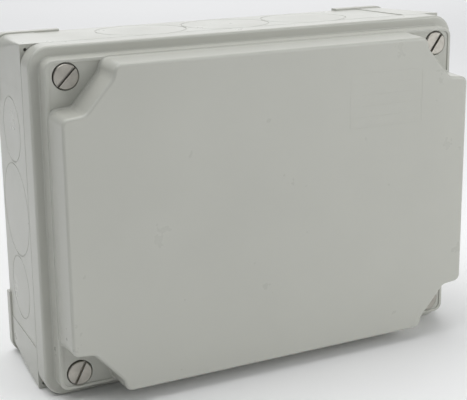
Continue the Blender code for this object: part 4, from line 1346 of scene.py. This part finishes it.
# ==================================================================== terminals
# Five clamp terminals snapped side by side over the rail: three grey, one blue for the neutral
# and one green and yellow for the earth. A tunnel runs through each body for the wires.

TERMINAL_PITCH = 0.0100
TERMINAL_THICKNESS = 0.0094
TERMINAL_HALF_HEIGHT = 0.0235
TERMINAL_FRONT = 0.0680
TERMINAL_SCREW_Z = 0.0130
TERMINAL_EDGE = 0.0003
CLAMP_HOLE = 0.0031
CLAMP_MOUTH = CLAMP_HOLE + 0.0005
CLAMP_MOUTH_DEPTH = 0.0006
TUNNEL_FRONT = 0.0785
TUNNEL_BACK = 0.0870
TUNNEL_WIDTH = 0.0064
LABEL_SEAT = (0.0070, 0.0016, 0.0090)
FUNNEL_FLARE = 0.0007
FUNNEL_DEPTH = 0.0016
FUNNEL_SET_IN = 0.0004
SEAM_BLUR = 0.00002
EARTH_YELLOW = (0.640, 0.520, 0.040)

terminal_blue = moulded("terminal_blue", (0.030, 0.160, 0.450), TERMINAL_GLOSS, TERMINAL_GRAIN)
terminal_earth = moulded("terminal_earth", (0.090, 0.330, 0.060), TERMINAL_GLOSS, TERMINAL_GRAIN)
earth_tree = terminal_earth.node_tree
earth_shader = earth_tree.nodes["Principled BSDF"]
green = earth_shader.inputs["Base Color"].links[0].from_socket
split = shader_node(earth_tree, "ShaderNodeSeparateXYZ")
earth_tree.links.new(shader_node(earth_tree, "ShaderNodeTexCoord").outputs["Object"], split.inputs["Vector"])
seam = 2 * TERMINAL_PITCH
yellow_half = spread(earth_tree, split.outputs["X"], seam - SEAM_BLUR, seam + SEAM_BLUR, 0.0, 1.0)
earth_tree.links.new(
    blended(earth_tree, yellow_half, green, EARTH_YELLOW), earth_shader.inputs["Base Color"]
)
TERMINAL_LOOKS = (
    (terminal_grey, "terminal_grey"), (terminal_grey, "terminal_grey"), (terminal_grey, "terminal_grey"),
    (terminal_blue, "terminal_blue"), (terminal_earth, "terminal_earth"),
)


def funnel(bm, x, side):
    """The flared mouth of a wire entry at one end of the tunnel."""
    middle_depth = (TUNNEL_FRONT + TUNNEL_BACK) / 2
    tunnel_depth = TUNNEL_BACK - TUNNEL_FRONT
    mouth_z = side * (TERMINAL_HALF_HEIGHT - FUNNEL_SET_IN)
    made = bmesh.ops.create_cube(bm, size=1.0)["verts"]
    bmesh.ops.scale(bm, vec=(TUNNEL_WIDTH, tunnel_depth, FUNNEL_DEPTH * 2), verts=made)
    outer = [vert for vert in made if vert.co.z * side > 0]
    stretch = (1 + 2 * FUNNEL_FLARE / TUNNEL_WIDTH, 1 + 2 * FUNNEL_FLARE / tunnel_depth, 1.0)
    bmesh.ops.scale(bm, vec=stretch, verts=outer)
    bmesh.ops.translate(bm, vec=at(x, middle_depth, mouth_z), verts=made)


def terminal_x(number):
    """The middle of a terminal across the box, with the third one in the middle."""
    return (number - 3) * TERMINAL_PITCH


for number, (look, slot_name) in enumerate(TERMINAL_LOOKS, 1):
    x = terminal_x(number)
    body = shape(f"terminal_body_{number}", clip_block(
        x, TERMINAL_FRONT, TERMINAL_HALF_HEIGHT, TERMINAL_THICKNESS
    ))
    openings = bmesh.new()
    block(
        openings, (TUNNEL_WIDTH, TUNNEL_BACK - TUNNEL_FRONT, TERMINAL_HALF_HEIGHT * 2 + 2 * CUT_PAST),
        (x, (TUNNEL_FRONT + TUNNEL_BACK) / 2, 0.0),
    )
    carve(body, openings)
    mouths = bmesh.new()
    for side in (-1, 1):
        funnel(mouths, x, side)
    carve(body, mouths)
    entries = bmesh.new()
    block(entries, LABEL_SEAT, (x, TERMINAL_FRONT, 0.0))
    for side in (-1, 1):
        turn(entries, (
            (CLAMP_MOUTH, TERMINAL_FRONT - 0.0060), (CLAMP_MOUTH, TERMINAL_FRONT),
            (CLAMP_HOLE, TERMINAL_FRONT + CLAMP_MOUTH_DEPTH), (CLAMP_HOLE, TUNNEL_FRONT + 0.0010),
        ), x, side * TERMINAL_SCREW_Z, 32)
    carve(body, entries)
    soften(body, TERMINAL_EDGE, segments=2)
    smooth(body)
    dress(body, look, "base", slot_name, f"terminal_{number}")

# ==================================================================== current bars
# A brass bar lies in each terminal's tunnel and joins its two clamps. It is cut from strip, with
# a shallow toothed patch under each screw that bites into the wire.

BAR_SIZE = (0.0056, 0.0020, 0.0360)
BAR_BACK = TUNNEL_BACK - 0.0003
BAR_EDGE = 0.00015
BAR_TEETH = 5
TOOTH_PITCH = 0.0008
TOOTH_GROOVE = (BAR_SIZE[0] + 0.001, 0.0004, 0.0003)
strip_brass = plated("strip_brass", (0.78, 0.58, 0.28), gloss=0.34, stain=0.78)
for number in range(1, len(TERMINAL_LOOKS) + 1):
    x = terminal_x(number)
    bar_mesh = bmesh.new()
    block(bar_mesh, BAR_SIZE, (x, BAR_BACK - BAR_SIZE[1] / 2, 0.0))
    bar = shape(f"brass_bar_{number}", bar_mesh)
    teeth = bmesh.new()
    for side in (-1, 1):
        for tooth in range(BAR_TEETH):
            tooth_z = side * TERMINAL_SCREW_Z + (tooth - BAR_TEETH // 2) * TOOTH_PITCH
            block(teeth, TOOTH_GROOVE, (x, BAR_BACK - BAR_SIZE[1], tooth_z))
    carve(bar, teeth)
    soften(bar, BAR_EDGE, segments=1)
    smooth(bar)
    dress(bar, strip_brass, "base", "brass", f"current_bar_{number}")

# ==================================================================== clamp screws
# Two small slotted screws in each terminal press the wires onto the bar. They are turned steel,
# zinc plated, and turn on the spot in their holes.

CLAMP_FRONT = TERMINAL_FRONT + 0.0015
CLAMP_END = TUNNEL_BACK - 0.0034
CLAMP_RADIUS = 0.0027
CLAMP_CORE = CLAMP_RADIUS - 0.0004
CLAMP_EDGE = 0.0003
CLAMP_SLOT = (0.0008, 0.0024, 0.0070)
CLAMP_SLOT_TURN = 20
for number in range(1, len(TERMINAL_LOOKS) + 1):
    for end_name, side in (("upper", 1), ("lower", -1)):
        x = terminal_x(number)
        z = side * TERMINAL_SCREW_Z
        stud = bmesh.new()
        turn(stud, (
            (CLAMP_RADIUS - CLAMP_EDGE, CLAMP_FRONT), (CLAMP_RADIUS, CLAMP_FRONT + CLAMP_EDGE),
            (CLAMP_RADIUS, CLAMP_FRONT + 0.0022), (CLAMP_CORE, CLAMP_FRONT + 0.0026),
            (CLAMP_CORE, CLAMP_END - 0.0006), (CLAMP_RADIUS - 0.0009, CLAMP_END),
        ), x, z, 28)
        clamp = shape(f"clamp_stud_{number}_{end_name}", stud)
        cut = bmesh.new()
        turned = Matrix.Rotation(math.radians(CLAMP_SLOT_TURN), 3, "Y")
        block(cut, CLAMP_SLOT, (x, CLAMP_FRONT, z), turned)
        carve(clamp, cut)
        mark_axis(clamp, x, z)
        smooth(clamp)
        place = f"{number}_{end_name}"
        dress(clamp, formed_steel, f"clamp_{place}", "screw_metal", f"clamp_screw_{place}")
